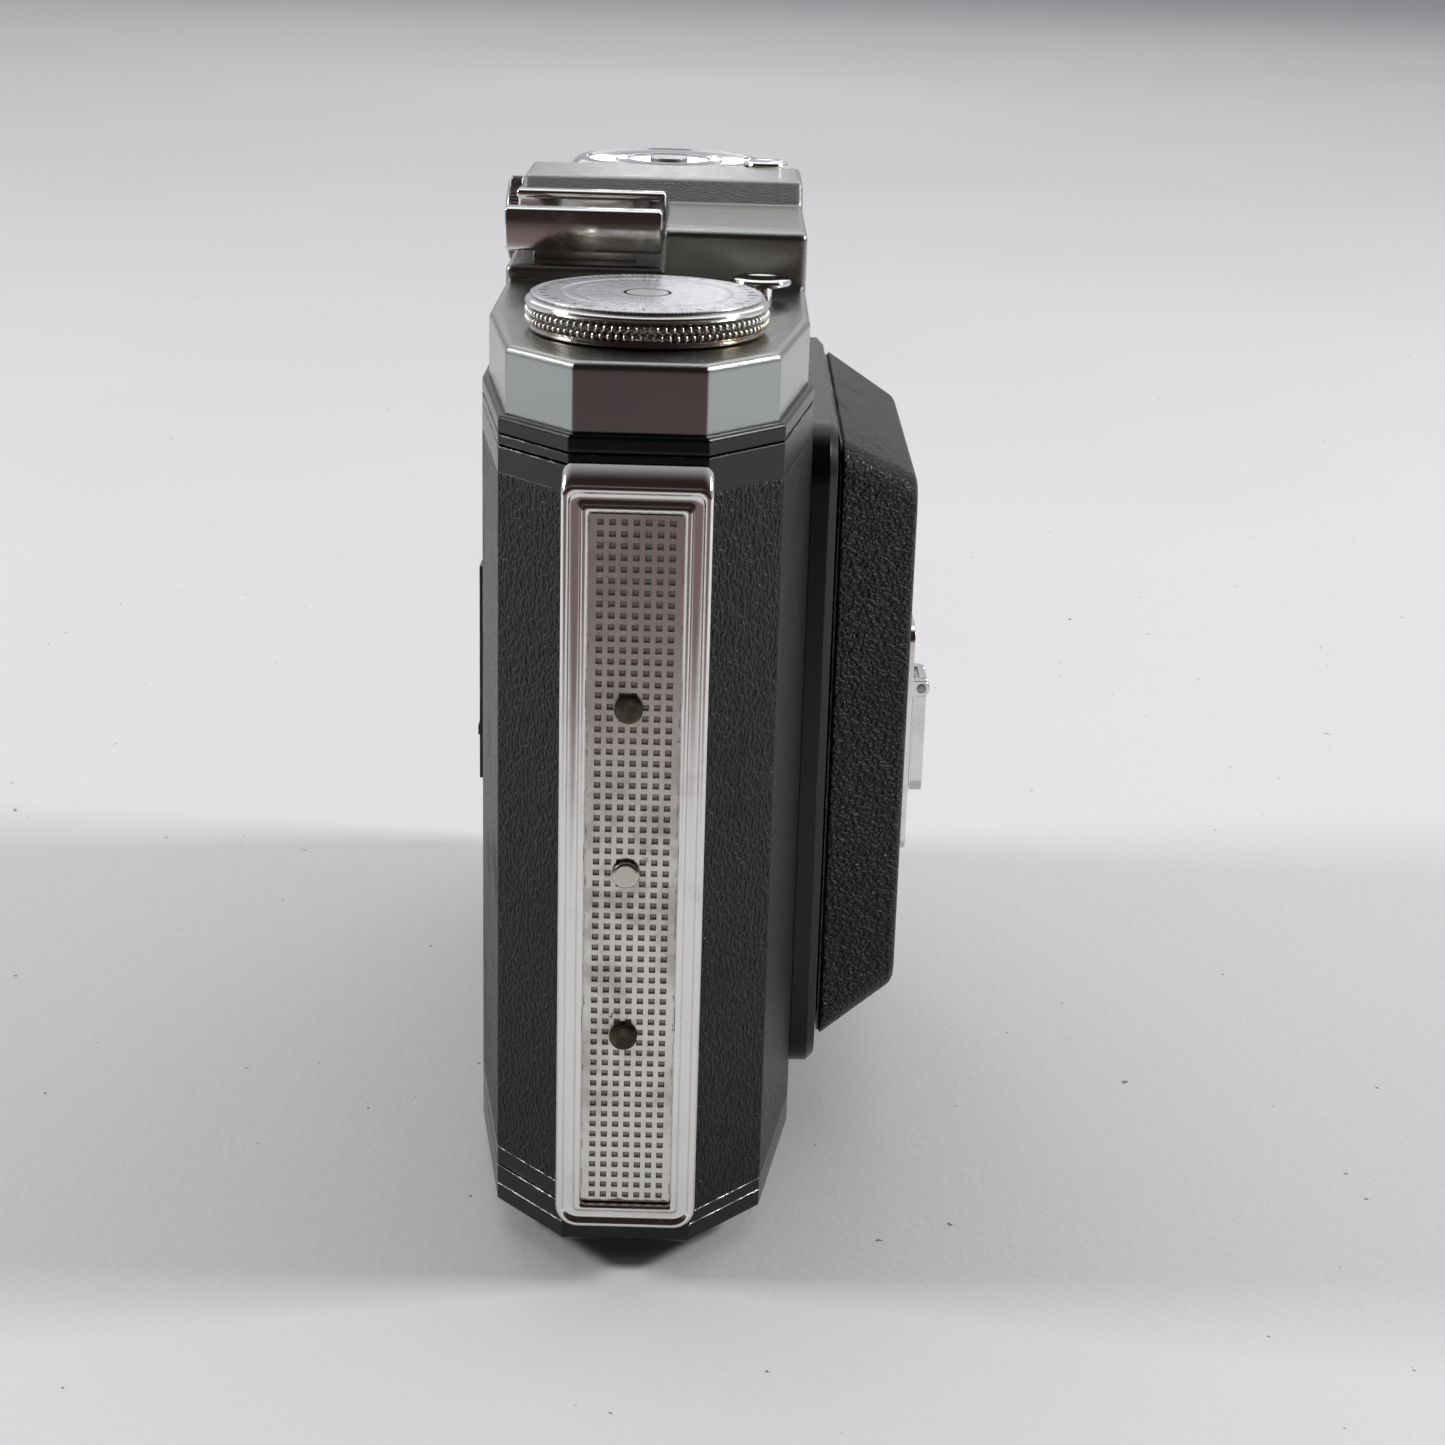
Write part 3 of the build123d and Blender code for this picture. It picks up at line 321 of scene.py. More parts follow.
def edge_wear_group():
    """Mask of worn edges, where a rounded normal leaves the true one, broken up by noise; and that normal."""
    n, given, out = new_group("edge_wear", [("Radius", 0.0004), ("Amount", 0.5), ("Scale", 700.0)],
                              [("Mask", "Float"), ("Soft Normal", "Vector")])
    bevel = n.add("Bevel", samples=6)
    n.wire(given["Radius"], bevel.inputs["Radius"])
    true = n.add("NewGeometry")
    dot = n.add("VectorMath", operation="DOT_PRODUCT")
    n.wire(bevel.outputs[0], dot.inputs[0])
    n.wire(true.outputs["Normal"], dot.inputs[1])
    bend = n.math("SUBTRACT", 1.0, dot.outputs["Value"])
    at = n.add("TexCoord").outputs["Object"]
    speck = n.add("TexNoise", Detail=6.0, Roughness=0.65)
    n.wire(at, speck.inputs["Vector"])
    n.wire(given["Scale"], speck.inputs["Scale"])
    patch = n.noise(at, 60.0, 2.0)
    level = n.math("MULTIPLY", n.math("ADD", speck.outputs["Fac"], patch), given["Amount"])
    reach = n.math("MULTIPLY", n.ramp(bend, 0.02, 0.2), level)
    n.wire(n.ramp(reach, 0.5, 0.6), out["Mask"])
    n.wire(bevel.outputs[0], out["Soft Normal"])
    return n.tree


def pebble_group():
    """Pebbled hide: raised grains of uneven size with creases between them."""
    n, given, out = new_group("pebble", [("Scale", 900.0), ("Stretch", 0.75)],
                              [("Height", "Float"), ("Crease", "Float")])
    at = n.add("TexCoord").outputs["Object"]
    size = n.add("CombineXYZ", X=1.0, Y=1.0)
    n.wire(given["Stretch"], size.inputs["Z"])
    flat = n.add("VectorMath", operation="MULTIPLY")
    n.wire(at, flat.inputs[0])
    n.wire(size.outputs[0], flat.inputs[1])
    drift = n.add("TexNoise", Scale=420.0, Detail=2.0)
    n.wire(flat.outputs[0], drift.inputs["Vector"])
    push = n.add("VectorMath", operation="MULTIPLY_ADD")
    n.wire(drift.outputs["Color"], push.inputs[0])
    push.inputs[1].default_value = (0.0004, 0.0004, 0.0004)
    n.wire(flat.outputs[0], push.inputs[2])
    grain = n.add("TexNoise", Detail=1.2, Roughness=0.45)
    n.wire(push.outputs[0], grain.inputs["Vector"])
    n.wire(given["Scale"], grain.inputs["Scale"])
    dome = n.ramp(grain.outputs["Fac"], 0.34, 0.68)
    fine = n.math("MULTIPLY", n.noise(at, 4200.0, 3.0), 0.12)
    swell = n.math("MULTIPLY", n.noise(at, 260.0, 2.0), 0.5)
    n.wire(n.math("ADD", n.math("ADD", dome, fine), swell), out["Height"])
    # Crease mask, 1 in the valleys between grains; the leather uses it to paint shade into its creases.
    n.wire(n.ramp(dome, 0.0, 0.3, 1.0, 0.0), out["Crease"])
    return n.tree


def grime_group():
    """Patchy dirt, 0 to 1, and a fine speckle for grain and dust."""
    n, given, out = new_group("grime", [("Scale", 90.0), ("Cover", 0.5)],
                              [("Patch", "Float"), ("Speck", "Float")])
    at = n.add("TexCoord").outputs["Object"]
    cloud = n.add("TexNoise", Detail=7.0, Roughness=0.7)
    n.wire(at, cloud.inputs["Vector"])
    n.wire(given["Scale"], cloud.inputs["Scale"])
    low = n.math("SUBTRACT", 0.95, given["Cover"])
    high = n.math("ADD", low, 0.2)
    n.wire(n.ramp(cloud.outputs["Fac"], low, high), out["Patch"])
    n.wire(n.ramp(n.noise(at, 2600.0, 2.0), 0.64, 0.74), out["Speck"])
    return n.tree


EDGE, PEBBLE, GRIME = edge_wear_group(), pebble_group(), grime_group()


class Finish:
    """One material: a Principled shader and the groups that feed it."""

    def __init__(self, name):
        self.material = bpy.data.materials.new(name)
        self.material.use_nodes = True
        self.n = Nodes(self.material.node_tree)
        self.shader = self.material.node_tree.nodes["Principled BSDF"]
        self.at = self.n.add("TexCoord").outputs["Object"]

    def set(self, **values):
        for key, value in values.items():
            self.n.feed(self.shader.inputs[key.replace("_", " ")], value)
        return self

    def group(self, tree, **values):
        node = self.n.add("Group", node_tree=tree)
        for key, value in values.items():
            node.inputs[key].default_value = value
        return node.outputs

    def bump(self, height, depth, strength=1.0, normal=None):
        """Feeds the shader a bump of this depth in millimetres, over a soft edge normal if given."""
        node = self.n.add("Bump", Strength=strength, Distance=depth * MM)
        self.n.feed(node.inputs["Height"], height)
        self.n.feed(node.inputs["Normal"], normal)
        self.n.wire(node.outputs[0], self.shader.inputs["Normal"])
        return self

    def height_band(self, low, high, edge=0.4):
        """Mask that is 1 between two heights in millimetres."""
        z = self.n.add("SeparateXYZ")
        self.n.wire(self.at, z.inputs[0])
        up = self.n.ramp(z.outputs["Z"], (low - edge) * MM, (low + edge) * MM)
        down = self.n.ramp(z.outputs["Z"], (high - edge) * MM, (high + edge) * MM, 1.0, 0.0)
        return self.n.math("MULTIPLY", up, down)


# ---------------------------------------------------------------- finishes


def black_enamel(name="black_enamel", wear=0.56, rough=0.26):
    """Smooth black enamel with bare metal showing where the edges are chipped."""
    f = Finish(name)
    worn = f.group(EDGE, Radius=0.0003, Amount=wear, Scale=900.0)
    dirt = f.group(GRIME, Scale=120.0, Cover=0.42)
    dull = f.n.mix(dirt["Patch"], (0.004, 0.004, 0.0045, 1), (0.009, 0.0088, 0.0085, 1))
    colour = f.n.mix(worn["Mask"], dull, (0.52, 0.51, 0.49, 1))
    f.set(Base_Color=colour, Metallic=worn["Mask"], Specular_IOR_Level=0.36)
    f.set(Roughness=f.n.ramp(dirt["Patch"], 0, 1, rough, rough + 0.14))
    height = f.n.math("SUBTRACT", f.n.math("MULTIPLY", f.n.noise(f.at, 1500.0, 2.0), 0.05), worn["Mask"])
    return f.bump(height, 0.02, 0.5, worn["Soft Normal"]).material


def pebbled_leather(name, scale, depth, stretch, tint=0.005):
    """Black hide with pebble grain, painted shade in its creases, dust specks, and rubbed on its crests."""
    f = Finish(name)
    grain = f.group(PEBBLE, Scale=scale, Stretch=stretch)
    worn = f.group(EDGE, Radius=0.0006, Amount=0.4, Scale=500.0)
    dirt = f.group(GRIME, Scale=70.0, Cover=0.45)
    # Painted shade: the colour goes darker where the crease mask marks the valleys between grains.
    crease_shaded = f.n.mix(grain["Crease"], (tint, tint, tint * 1.04, 1), (tint * 0.45, tint * 0.45, tint * 0.45, 1))
    dusty = f.n.mix(f.n.math("MULTIPLY", dirt["Speck"], 0.25), crease_shaded, (0.10, 0.098, 0.095, 1))
    f.set(Base_Color=f.n.mix(worn["Mask"], dusty, (0.07, 0.062, 0.04, 1)))
    f.set(Roughness=f.n.ramp(dirt["Patch"], 0, 1, 0.36, 0.5), Specular_IOR_Level=0.28)
    return f.bump(grain["Height"], depth, 0.85, worn["Soft Normal"]).material


def satin_chrome():
    """Vapour-blasted chrome of the cover: silky on the plate, grainier on the finder housing."""
    f = Finish("satin_chrome")
    housing = f.height_band(95.2, 140.0, 0.2)
    worn = f.group(EDGE, Radius=0.0005, Amount=0.46, Scale=1200.0)
    dirt = f.group(GRIME, Scale=110.0, Cover=0.48)
    clean = f.n.mix(worn["Mask"], (0.33, 0.345, 0.34, 1), (0.85, 0.85, 0.84, 1))
    stained = f.n.mix(f.n.math("MULTIPLY", dirt["Patch"], 0.12), clean, (0.42, 0.41, 0.37, 1))
    grain = f.n.noise(f.at, 4600.0, 2.0, 0.6)
    sparkle = f.n.math("MULTIPLY", housing, f.n.ramp(grain, 0.62, 0.42, 0.25, 1.0))
    f.set(Base_Color=f.n.mix(sparkle, stained, (0.34, 0.345, 0.315, 1)), Metallic=1.0)
    rubbed = f.n.ramp(worn["Mask"], 0, 1, 0.24, 0.14)
    f.set(Roughness=f.n.math("ADD", rubbed, f.n.math("MULTIPLY", dirt["Patch"], 0.02)))
    height = f.n.math("MULTIPLY", grain, f.n.ramp(housing, 0, 1, 0.06, 1.0))
    return f.bump(height, 0.06, 0.8, worn["Soft Normal"]).material


def bright_chrome(name="bright_chrome", rough=0.07, tarnish=None, tint=(0.80, 0.79, 0.77, 1)):
    """Polished chrome with faint wipe marks, and brown tarnish between two heights if given."""
    f = Finish(name)
    worn = f.group(EDGE, Radius=0.0002, Amount=0.4, Scale=1500.0)
    dirt = f.group(GRIME, Scale=160.0, Cover=0.45)
    colour = f.n.mix(f.n.math("MULTIPLY", dirt["Patch"], 0.3), tint, (0.55, 0.53, 0.48, 1))
    if tarnish:
        blotch = f.n.ramp(f.n.noise(f.at, 130.0, 4.0), 0.4, 0.62)
        spread = f.n.math("MULTIPLY", f.height_band(*tarnish, 0.5), blotch)
        colour = f.n.mix(spread, colour, (0.33, 0.21, 0.10, 1))
    f.set(Base_Color=colour, Metallic=1.0, Roughness=f.n.ramp(dirt["Patch"], 0, 1, rough, rough + 0.12))
    return f.bump(f.n.noise(f.at, 900.0, 2.0), 0.004, 0.4, worn["Soft Normal"]).material


def brushed_disc(centre):
    """Spun metal with fine streaks running out from a centre, in millimetres."""
    f = Finish("brushed_disc")
    local = f.n.add("VectorMath", operation="SUBTRACT")
    f.n.wire(f.at, local.inputs[0])
    local.inputs[1].default_value = mm(*centre)
    axes = f.n.add("SeparateXYZ")
    f.n.wire(local.outputs[0], axes.inputs[0])
    angle = f.n.math("ARCTAN2", axes.outputs["Y"], axes.outputs["X"])
    reach = f.n.add("VectorMath", operation="LENGTH")
    f.n.wire(local.outputs[0], reach.inputs[0])
    spokes = f.n.add("CombineXYZ")
    f.n.wire(angle, spokes.inputs["X"])
    f.n.wire(f.n.math("MULTIPLY", reach.outputs["Value"], 3.0), spokes.inputs["Y"])
    streak = f.n.noise(spokes.outputs[0], 26.0, 6.0, 0.7)
    rings = f.n.noise(f.n.scaled(spokes.outputs[0], (0.0, 60.0, 1.0)), 3.0, 4.0)
    dirt = f.group(GRIME, Scale=260.0, Cover=0.5)
    worn = f.group(EDGE, Radius=0.0003, Amount=0.4, Scale=1500.0)
    tone = f.n.mix(f.n.ramp(streak, 0.3, 0.7), (0.44, 0.44, 0.46, 1), (0.57, 0.57, 0.58, 1))
    handled = f.n.mix(f.n.math("MULTIPLY", dirt["Patch"], 0.4), tone, (0.42, 0.41, 0.40, 1))
    f.set(Base_Color=handled, Metallic=1.0)
    f.set(Roughness=f.n.ramp(f.n.math("ADD", streak, rings), 0.6, 1.4, 0.14, 0.34))
    fade = f.n.ramp(reach.outputs["Value"], 0.002, 0.007)
    relief = f.n.math("MULTIPLY", f.n.math("ADD", streak, rings), fade)
    return f.bump(relief, 0.0015, 0.5, worn["Soft Normal"]).material


def dimpled_nickel(face_x, low):
    """The latch panel: nickel, painted shade in its dimples and a red-brown line of old adhesive round its edge.
    """
    f = Finish("dimpled_nickel")
    dirt = f.group(GRIME, Scale=75.0, Cover=0.53)
    place = f.n.add("SeparateXYZ")
    f.n.wire(f.at, place.inputs[0])
    sunk = f.n.ramp(place.outputs["X"], (face_x + 0.07) * MM, (face_x + 0.22) * MM)
    side = f.n.math("ABSOLUTE", place.outputs["Y"])
    ragged = f.n.math("MULTIPLY", f.n.math("SUBTRACT", f.n.noise(f.at, 700.0, 3.0), 0.5), 0.9 * MM)
    rim = f.n.ramp(f.n.math("ADD", side, ragged), 4.62 * MM, 4.9 * MM)
    height = f.n.math("ADD", place.outputs["Z"], ragged)
    foot = f.n.ramp(height, (low + 0.2) * MM, (low + 0.45) * MM, 1.0, 0.0)
    line = f.n.math("MAXIMUM", rim, foot)
    metal = f.n.mix(f.n.math("MULTIPLY", dirt["Patch"], 0.45), (0.70, 0.69, 0.66, 1), (0.46, 0.42, 0.33, 1))
    # Painted shade: the dimple floors turn dark brown and less metallic by their depth alone.
    shaded_pits = f.n.mix(f.n.math("MULTIPLY", sunk, 0.7), metal, (0.20, 0.15, 0.11, 1))
    black = f.n.ramp(f.n.noise(f.at, 330.0, 5.0, 0.75), 0.66, 0.70)
    spotted = f.n.mix(f.n.math("MULTIPLY", black, 0.8), shaded_pits, (0.04, 0.035, 0.03, 1))
    f.set(Base_Color=f.n.mix(f.n.math("MULTIPLY", line, 0.85), spotted, (0.16, 0.055, 0.04, 1)))
    f.set(Metallic=f.n.ramp(f.n.math("MAXIMUM", line, sunk), 0, 1, 1.0, 0.35))
    f.set(Roughness=f.n.ramp(dirt["Patch"], 0, 1, 0.2, 0.42))
    return f.bump(f.n.noise(f.at, 2400.0, 2.0), 0.01, 0.5).material


def rivet_metal():
    """Rivets: the upper and lower are oxidised dark olive, the middle one is still bright."""
    f = Finish("rivet_metal")
    bright = f.height_band(40.0, 47.0)
    dirt = f.group(GRIME, Scale=500.0, Cover=0.5)
    dark = f.n.mix(dirt["Patch"], (0.045, 0.042, 0.025, 1), (0.12, 0.11, 0.07, 1))
    f.set(Base_Color=f.n.mix(bright, dark, (0.62, 0.60, 0.54, 1)), Metallic=f.n.ramp(bright, 0, 1, 0.4, 1.0))
    f.set(Roughness=f.n.ramp(bright, 0, 1, 0.6, 0.25))
    return f.bump(f.n.noise(f.at, 1500.0, 3.0), 0.03, 0.7).material


def turned_steel(name="turned_steel", tone=0.5, rough=0.28):
    """Machined steel with fine lay lines."""
    f = Finish(name)
    worn = f.group(EDGE, Radius=0.0002, Amount=0.45, Scale=1500.0)
    lay = f.n.noise(f.n.scaled(f.at, (300.0, 300.0, 9000.0)), 1.0, 3.0)
    groove = (tone * 0.75, tone * 0.74, tone * 0.7, 1)
    f.set(Base_Color=f.n.mix(lay, (tone, tone, tone * 0.97, 1), groove), Metallic=1.0)
    f.set(Roughness=f.n.ramp(lay, 0.3, 0.7, rough, rough + 0.12))
    return f.bump(lay, 0.004, 0.4, worn["Soft Normal"]).material


def bellows_hide():
    """Thin matt black leather over card, with a fine grain."""
    f = Finish("bellows_hide")
    grain = f.group(PEBBLE, Scale=2400.0, Stretch=1.0)
    dirt = f.group(GRIME, Scale=90.0, Cover=0.45)
    f.set(Base_Color=f.n.mix(dirt["Patch"], (0.013, 0.013, 0.013, 1), (0.03, 0.029, 0.027, 1)))
    f.set(Roughness=f.n.ramp(dirt["Patch"], 0, 1, 0.55, 0.72))
    return f.bump(grain["Height"], 0.05, 0.6).material


def glass(name, colour, rough=0.02):
    """Polished glass with a faint film of dust."""
    f = Finish(name)
    dirt = f.group(GRIME, Scale=300.0, Cover=0.4)
    f.set(Base_Color=colour, IOR=1.5, Roughness=f.n.ramp(dirt["Patch"], 0, 1, rough, rough + 0.08))
    f.shader.inputs["Transmission Weight"].default_value = 0.9
    return f.bump(dirt["Speck"], 0.002, 0.3).material


def silvering():
    f = Finish("silvering")
    dirt = f.group(GRIME, Scale=300.0, Cover=0.4)
    f.set(Base_Color=(0.9, 0.9, 0.9, 1), Metallic=1.0, Roughness=f.n.ramp(dirt["Patch"], 0, 1, 0.02, 0.1))
    return f.bump(dirt["Speck"], 0.002, 0.3).material


PANEL_FACE_X = -64.35
ENAMEL = black_enamel()
BODY_HIDE = pebbled_leather("body_leather", 2500.0, 0.16, 0.7)
BED_HIDE = pebbled_leather("bed_leather_grain", 1800.0, 0.3, 1.45)
SATIN = satin_chrome()
BRIGHT = bright_chrome()
KNOB_CHROME = bright_chrome("knob_chrome", 0.1, (94.0, 97.0), (0.74, 0.73, 0.70, 1))
DISC = brushed_disc((WIND_X, 0, 99.5))
NICKEL = dimpled_nickel(PANEL_FACE_X, 5.7)
RIVETS = rivet_metal()
STEEL = turned_steel()
BELLOWS_HIDE = bellows_hide()
FAR_CHROME = bright_chrome("focus_chrome", 0.05, None, (0.46, 0.46, 0.47, 1))
GLASS = glass("optical_glass", (0.92, 0.95, 1.0, 1))
RUBY = glass("ruby_glass", (0.5, 0.01, 0.01, 1), 0.05)

BY_SLOT = {
    "black_paint": ENAMEL, "leather": BODY_HIDE, "bellows_leather": BELLOWS_HIDE, "satin_chrome": SATIN,
    "bright_chrome": BRIGHT, "nickel": NICKEL, "steel": STEEL, "glass": GLASS, "red_glass": RUBY,
    "spool_paint": black_enamel("spool_enamel", 0.62, 0.4),
    "blade_steel": turned_steel("blued_blades", 0.12, 0.32), "mirror": silvering(),
}
BY_NODE = {"bed_leather": BED_HIDE, "latch_rivets": RIVETS, "wind_knob": KNOB_CHROME, "wind_knob_disc": DISC}


def finish_cad_nodes():
    """Gives every CAD piece the finish of its slot, or its own."""
    for name, piece in NODES.items():
        finish = BY_NODE.get(name) or BY_SLOT[SLOT_OF[name]]
        for slot in piece.material_slots:
            slot.material = finish


# ---------------------------------------------------------------- latch at the winding end


def rounded_ring(x, half, low, high, low_radius, high_radius, steps=6):
    """Points of an upright rounded rectangle at one X, in millimetres."""
    points = []
    corners = ((1, high, high_radius), (-1, high, high_radius), (-1, low, low_radius), (1, low, low_radius))
    for side, end, radius in corners:
        up = 1 if end == high else -1
        first = (0 if side > 0 else 90) if up > 0 else (180 if side < 0 else 270)
        for i in range(steps + 1):
            turn = radians(first + 90 * i / steps)
            across = side * (half - radius) + radius * cos(turn)
            points.append((x, across, end - up * radius + radius * sin(turn)))
    return points


def latch_bar():
    """Chromed bar: sloped upper end, a rounded outer rim, a channel and a raised lip around the sunk panel."""
    low, high = (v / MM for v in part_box("latch_bar"))
    back, face, half, top = high.x, low.x - 0.15, high.y + 0.2, high.z - 0.35
    rings = [rounded_ring(back, half, low.z, top + 1.7, 2.4, 1.1),
             rounded_ring(face + 0.5, half, low.z, top + 0.3, 2.4, 1.1)]
    rim = ((0.05, 0.34), (0.15, 0.15), (0.3, 0.03), (0.45, 0), (0.6, 0.04), (0.75, 0.17), (0.86, 0.34))
    channel = ((0.95, 0.42), (1.8, 0.42))
    lip = ((1.88, 0.34), (2.0, 0.17), (2.15, 0.04), (2.3, 0), (2.45, 0.04), (2.6, 0.17), (2.72, 0.36), (2.78, 1.2))
    for inward, behind in rim + channel + lip:
        rings.append(rounded_ring(face + behind, half - inward, low.z + inward, top - inward,
                                  max(2.4 - inward, 0.45), max(1.1 - 0.3 * inward, 0.4)))
    count = len(rings[0])
    faces = []
    for first in range(0, (len(rings) - 1) * count, count):
        for i in range(count):
            after = (i + 1) % count
            faces.append((first + i, first + after, first + count + after, first + count + i))
    faces += [range(count), range((len(rings) - 1) * count, len(rings) * count)]
    mesh = bpy.data.meshes.new("latch_bar_shaped")
    mesh.from_pydata([mm(*point) for ring in rings for point in ring], [], faces)
    bar = bpy.data.objects.new("latch_bar_shaped", mesh)
    bpy.context.collection.objects.link(bar)
    outward(bar)
    smooth(bar, 60)
    return stand_for(bar, BRIGHT, "latch_bar")


def latch_panel():
    """Thin sheet pressed into rows of square dimples."""
    pitch, columns, rows = 1.19, 7, 63
    low, high = (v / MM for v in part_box("latch_panel"))
    high.z -= 0.5
    mid = (low.z + high.z) / 2
    bpy.ops.mesh.primitive_grid_add(x_subdivisions=columns + 2, y_subdivisions=rows + 2, size=1)
    bpy.context.object.scale = mm((columns + 2) * pitch, (rows + 2) * pitch, 1)
    sheet = settle("latch_panel_dimpled", (0, -pi / 2, 0))
    sheet = moved(sheet, (90, 0, 0), (0, 0, 0))
    half_w, half_h = (columns + 2) * pitch / 2, (rows + 2) * pitch / 2
    across = (high.y - low.y) / 2 - half_w
    along = (high.z - low.z) / 2 - half_h
    for sign in (-1, 1):
        mark(sheet, "verts", lambda p: sign * p.y > half_w - 0.1)
        bpy.ops.transform.translate(value=mm(0, sign * across, 0))
        done(sheet)
        mark(sheet, "verts", lambda p: sign * p.z > half_h - 0.1)
        bpy.ops.transform.translate(value=mm(0, 0, sign * along))
        done(sheet)
    sheet = moved(sheet, (0, 0, 0), (PANEL_FACE_X, 0, mid))
    if sheet.data.polygons[0].normal.x > 0:
        take(sheet)
        bpy.ops.object.mode_set(mode="EDIT")
        bpy.ops.mesh.select_all(action="SELECT")
        bpy.ops.mesh.flip_normals()
        done(sheet)
    inner_w, inner_h = columns * pitch / 2, rows * pitch / 2
    mark(sheet, "faces", lambda c, n: abs(c.y) < inner_w and abs(c.z - mid) < inner_h)
    bpy.ops.mesh.inset(thickness=0.26 * MM, depth=0, use_individual=True)
    bpy.ops.mesh.inset(thickness=0.12 * MM, depth=-0.28 * MM, use_individual=True)
    done(sheet)
    modify(sheet, "SOLIDIFY", thickness=0.08 * MM, offset=-1)
    smooth(sheet, 25)
    return stand_for(sheet, NICKEL, "latch_panel")


# ---------------------------------------------------------------- knobs, buttons, eyepiece


def bead_row(radius, z, count, size):
    """A ring of small beads around the winding knob's axis."""
    bpy.ops.mesh.primitive_uv_sphere_add(
        segments=8, ring_count=6, radius=size * MM, location=mm(radius, 0, z))
    bead = settle("bead")
    smooth(bead, 180)
    return ring_of(bead, count)


def wind_knob():
    """Winding knob: a stepped foot, two rows of beads and a polished flange."""
    foot, top = (v.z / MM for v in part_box("wind_knob"))
    core = turned("wind_knob_turned", [
        (0, foot), (12.0, foot), (12.15, foot + 0.05), (12.15, foot + 0.3), (11.95, foot + 0.36),
        (12.25, foot + 0.45), (12.3, foot + 0.6), (11.9, foot + 0.68), (11.9, 98.05), (12.2, 98.15),
        (12.55, 98.3), (12.66, 98.6), (12.55, 98.85), (12.25, 99.0), (12.1, top), (0, top)], 128)
    smooth(core, 24)
    rows = [bead_row(12.32, z, 92, 0.4) for z in (96.86, 97.72)]
    moved(rows[1], (0, 0, 180 / 92))
    knob = moved(joined([core, *rows]), at=(WIND_X, 0, 0))
    return stand_for(knob, KNOB_CHROME, "wind_knob")


def wind_knob_disc():
    """Spun top plate with a rolled rim and a shallow ring groove."""
    low, top = (v.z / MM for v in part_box("wind_knob_disc"))
    disc = turned("wind_knob_plate", [
        (0, low), (11.95, low), (12.15, low + 0.1), (12.15, top - 0.12), (11.9, top), (9.0, top),
        (8.9, top - 0.05), (8.75, top - 0.05), (8.65, top), (2.2, top), (2.05, top - 0.1), (0, top - 0.1)], 128)
    smooth(disc, 20)
    ticks = []
    for i in range(36):
        bpy.ops.mesh.primitive_cube_add(size=1, location=mm(10.9, 0, top - 0.03))
        long = 1.1 if i % 3 == 0 else 0.6
        bpy.context.object.scale = mm(long, 0.1, 0.1)
        tick = settle("tick")
        ticks.append(moved(tick, (0, 0, 10 * i)))
    marks = moved(joined(ticks), at=(WIND_X, 0, 0))
    marks.name = "wind_knob_ticks"
    marks.data.materials.clear()
    marks.data.materials.append(ENAMEL)
    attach(marks, BODY_OF["wind_knob_disc"])
    return stand_for(moved(disc, at=(WIND_X, 0, 0)), DISC, "wind_knob_disc")


def focus_knob():
    """Tall focusing knob: straight knurl on its side, polished dished top with a raised rim."""
    foot, top = (v.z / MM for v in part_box("focus_knob"))
    knob = turned("focus_knob_turned", [
        (0, foot), (12.9, foot), (13.2, foot + 0.2), (13.2, foot + 0.6), (13.4, foot + 0.7),
        (13.4, top - 1.6), (13.2, top - 1.4), (13.0, top - 1.2), (12.7, top - 0.6), (12.1, top - 0.15),
        (11.4, top), (10.9, top), (10.6, top - 0.25), (7.2, top - 0.35), (7.0, top - 0.15),
        (5.6, top - 0.1), (5.4, top - 0.3), (0, top - 0.35)], 140)
    knurled(knob, lambda c, n: upright(n) and foot + 0.8 < c.z < top - 1.8 and c.xy.length > 13.04)
    smooth(knob, 24)
    return stand_for(moved(knob, at=(FOCUS_X, 0, 0)), FAR_CHROME, "focus_knob")


def eyepiece_ring():
    """Knurled ring around the finder's eyepiece, its axis along Y."""
    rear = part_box("eyepiece_ring")[1].y / MM
    ring = turned("eyepiece_knurled", [
        (3.2, 0.4), (3.6, 0), (4.9, 0), (5.2, 0.15), (5.3, 0.35), (5.3, 1.8), (5.1, 2.0), (4.0, 2.05),
        (4.0, 4.2), (3.2, 4.2), (3.2, 0.4)], 72)
    knurled(ring, lambda c, n: upright(n) and 0.36 < c.z < 1.8 and c.xy.length > 5.2, 0.07, 0.22)
    smooth(ring, 24)
    ring = moved(ring, (90, 0, 0), (EYE_X, rear, EYE_Z))
    return stand_for(ring, turned_steel("knurl_chrome", 0.6, 0.2), "eyepiece_ring")


def push_button(node, radius, finish):
    """A mushroom button with a rolled rim and a dished face."""
    low, high = (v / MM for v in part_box(node))
    x, y, top = (low.x + high.x) / 2, (low.y + high.y) / 2, high.z
    cap = turned(node + "_turned", [
        (0, low.z), (1.2, low.z), (1.2, 92.0), (2.4, 92.05), (2.4, 92.75), (1.2, 92.8), (1.2, top - 1.0),
        (radius - 0.5, top - 0.95), (radius - 0.1, top - 0.75), (radius, top - 0.5),
        (radius - 0.15, top - 0.15), (radius - 0.6, top), (radius - 1.0, top - 0.08), (0, top - 0.3)], 64)
    smooth(cap, 30)
    return stand_for(moved(cap, at=(x, y, 0)), finish, node)


def button_spring(node):
    """A button's coil spring, a smoothed copy of its CAD piece."""
    coil = NODES[node].copy()
    coil.data = coil.data.copy()
    coil.name = coil.data.name = node + "_wound"
    bpy.context.collection.objects.link(coil)
    take(coil)
    bpy.ops.object.parent_clear(type="CLEAR_KEEP_TRANSFORM")
    bpy.ops.object.transform_apply(location=True, rotation=True, scale=True)
    outward(coil)
    smooth(coil, 60)
    coil.data.materials.clear()
    coil.data.materials.append(STEEL)
    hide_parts(node)
    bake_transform(coil)
    return coil


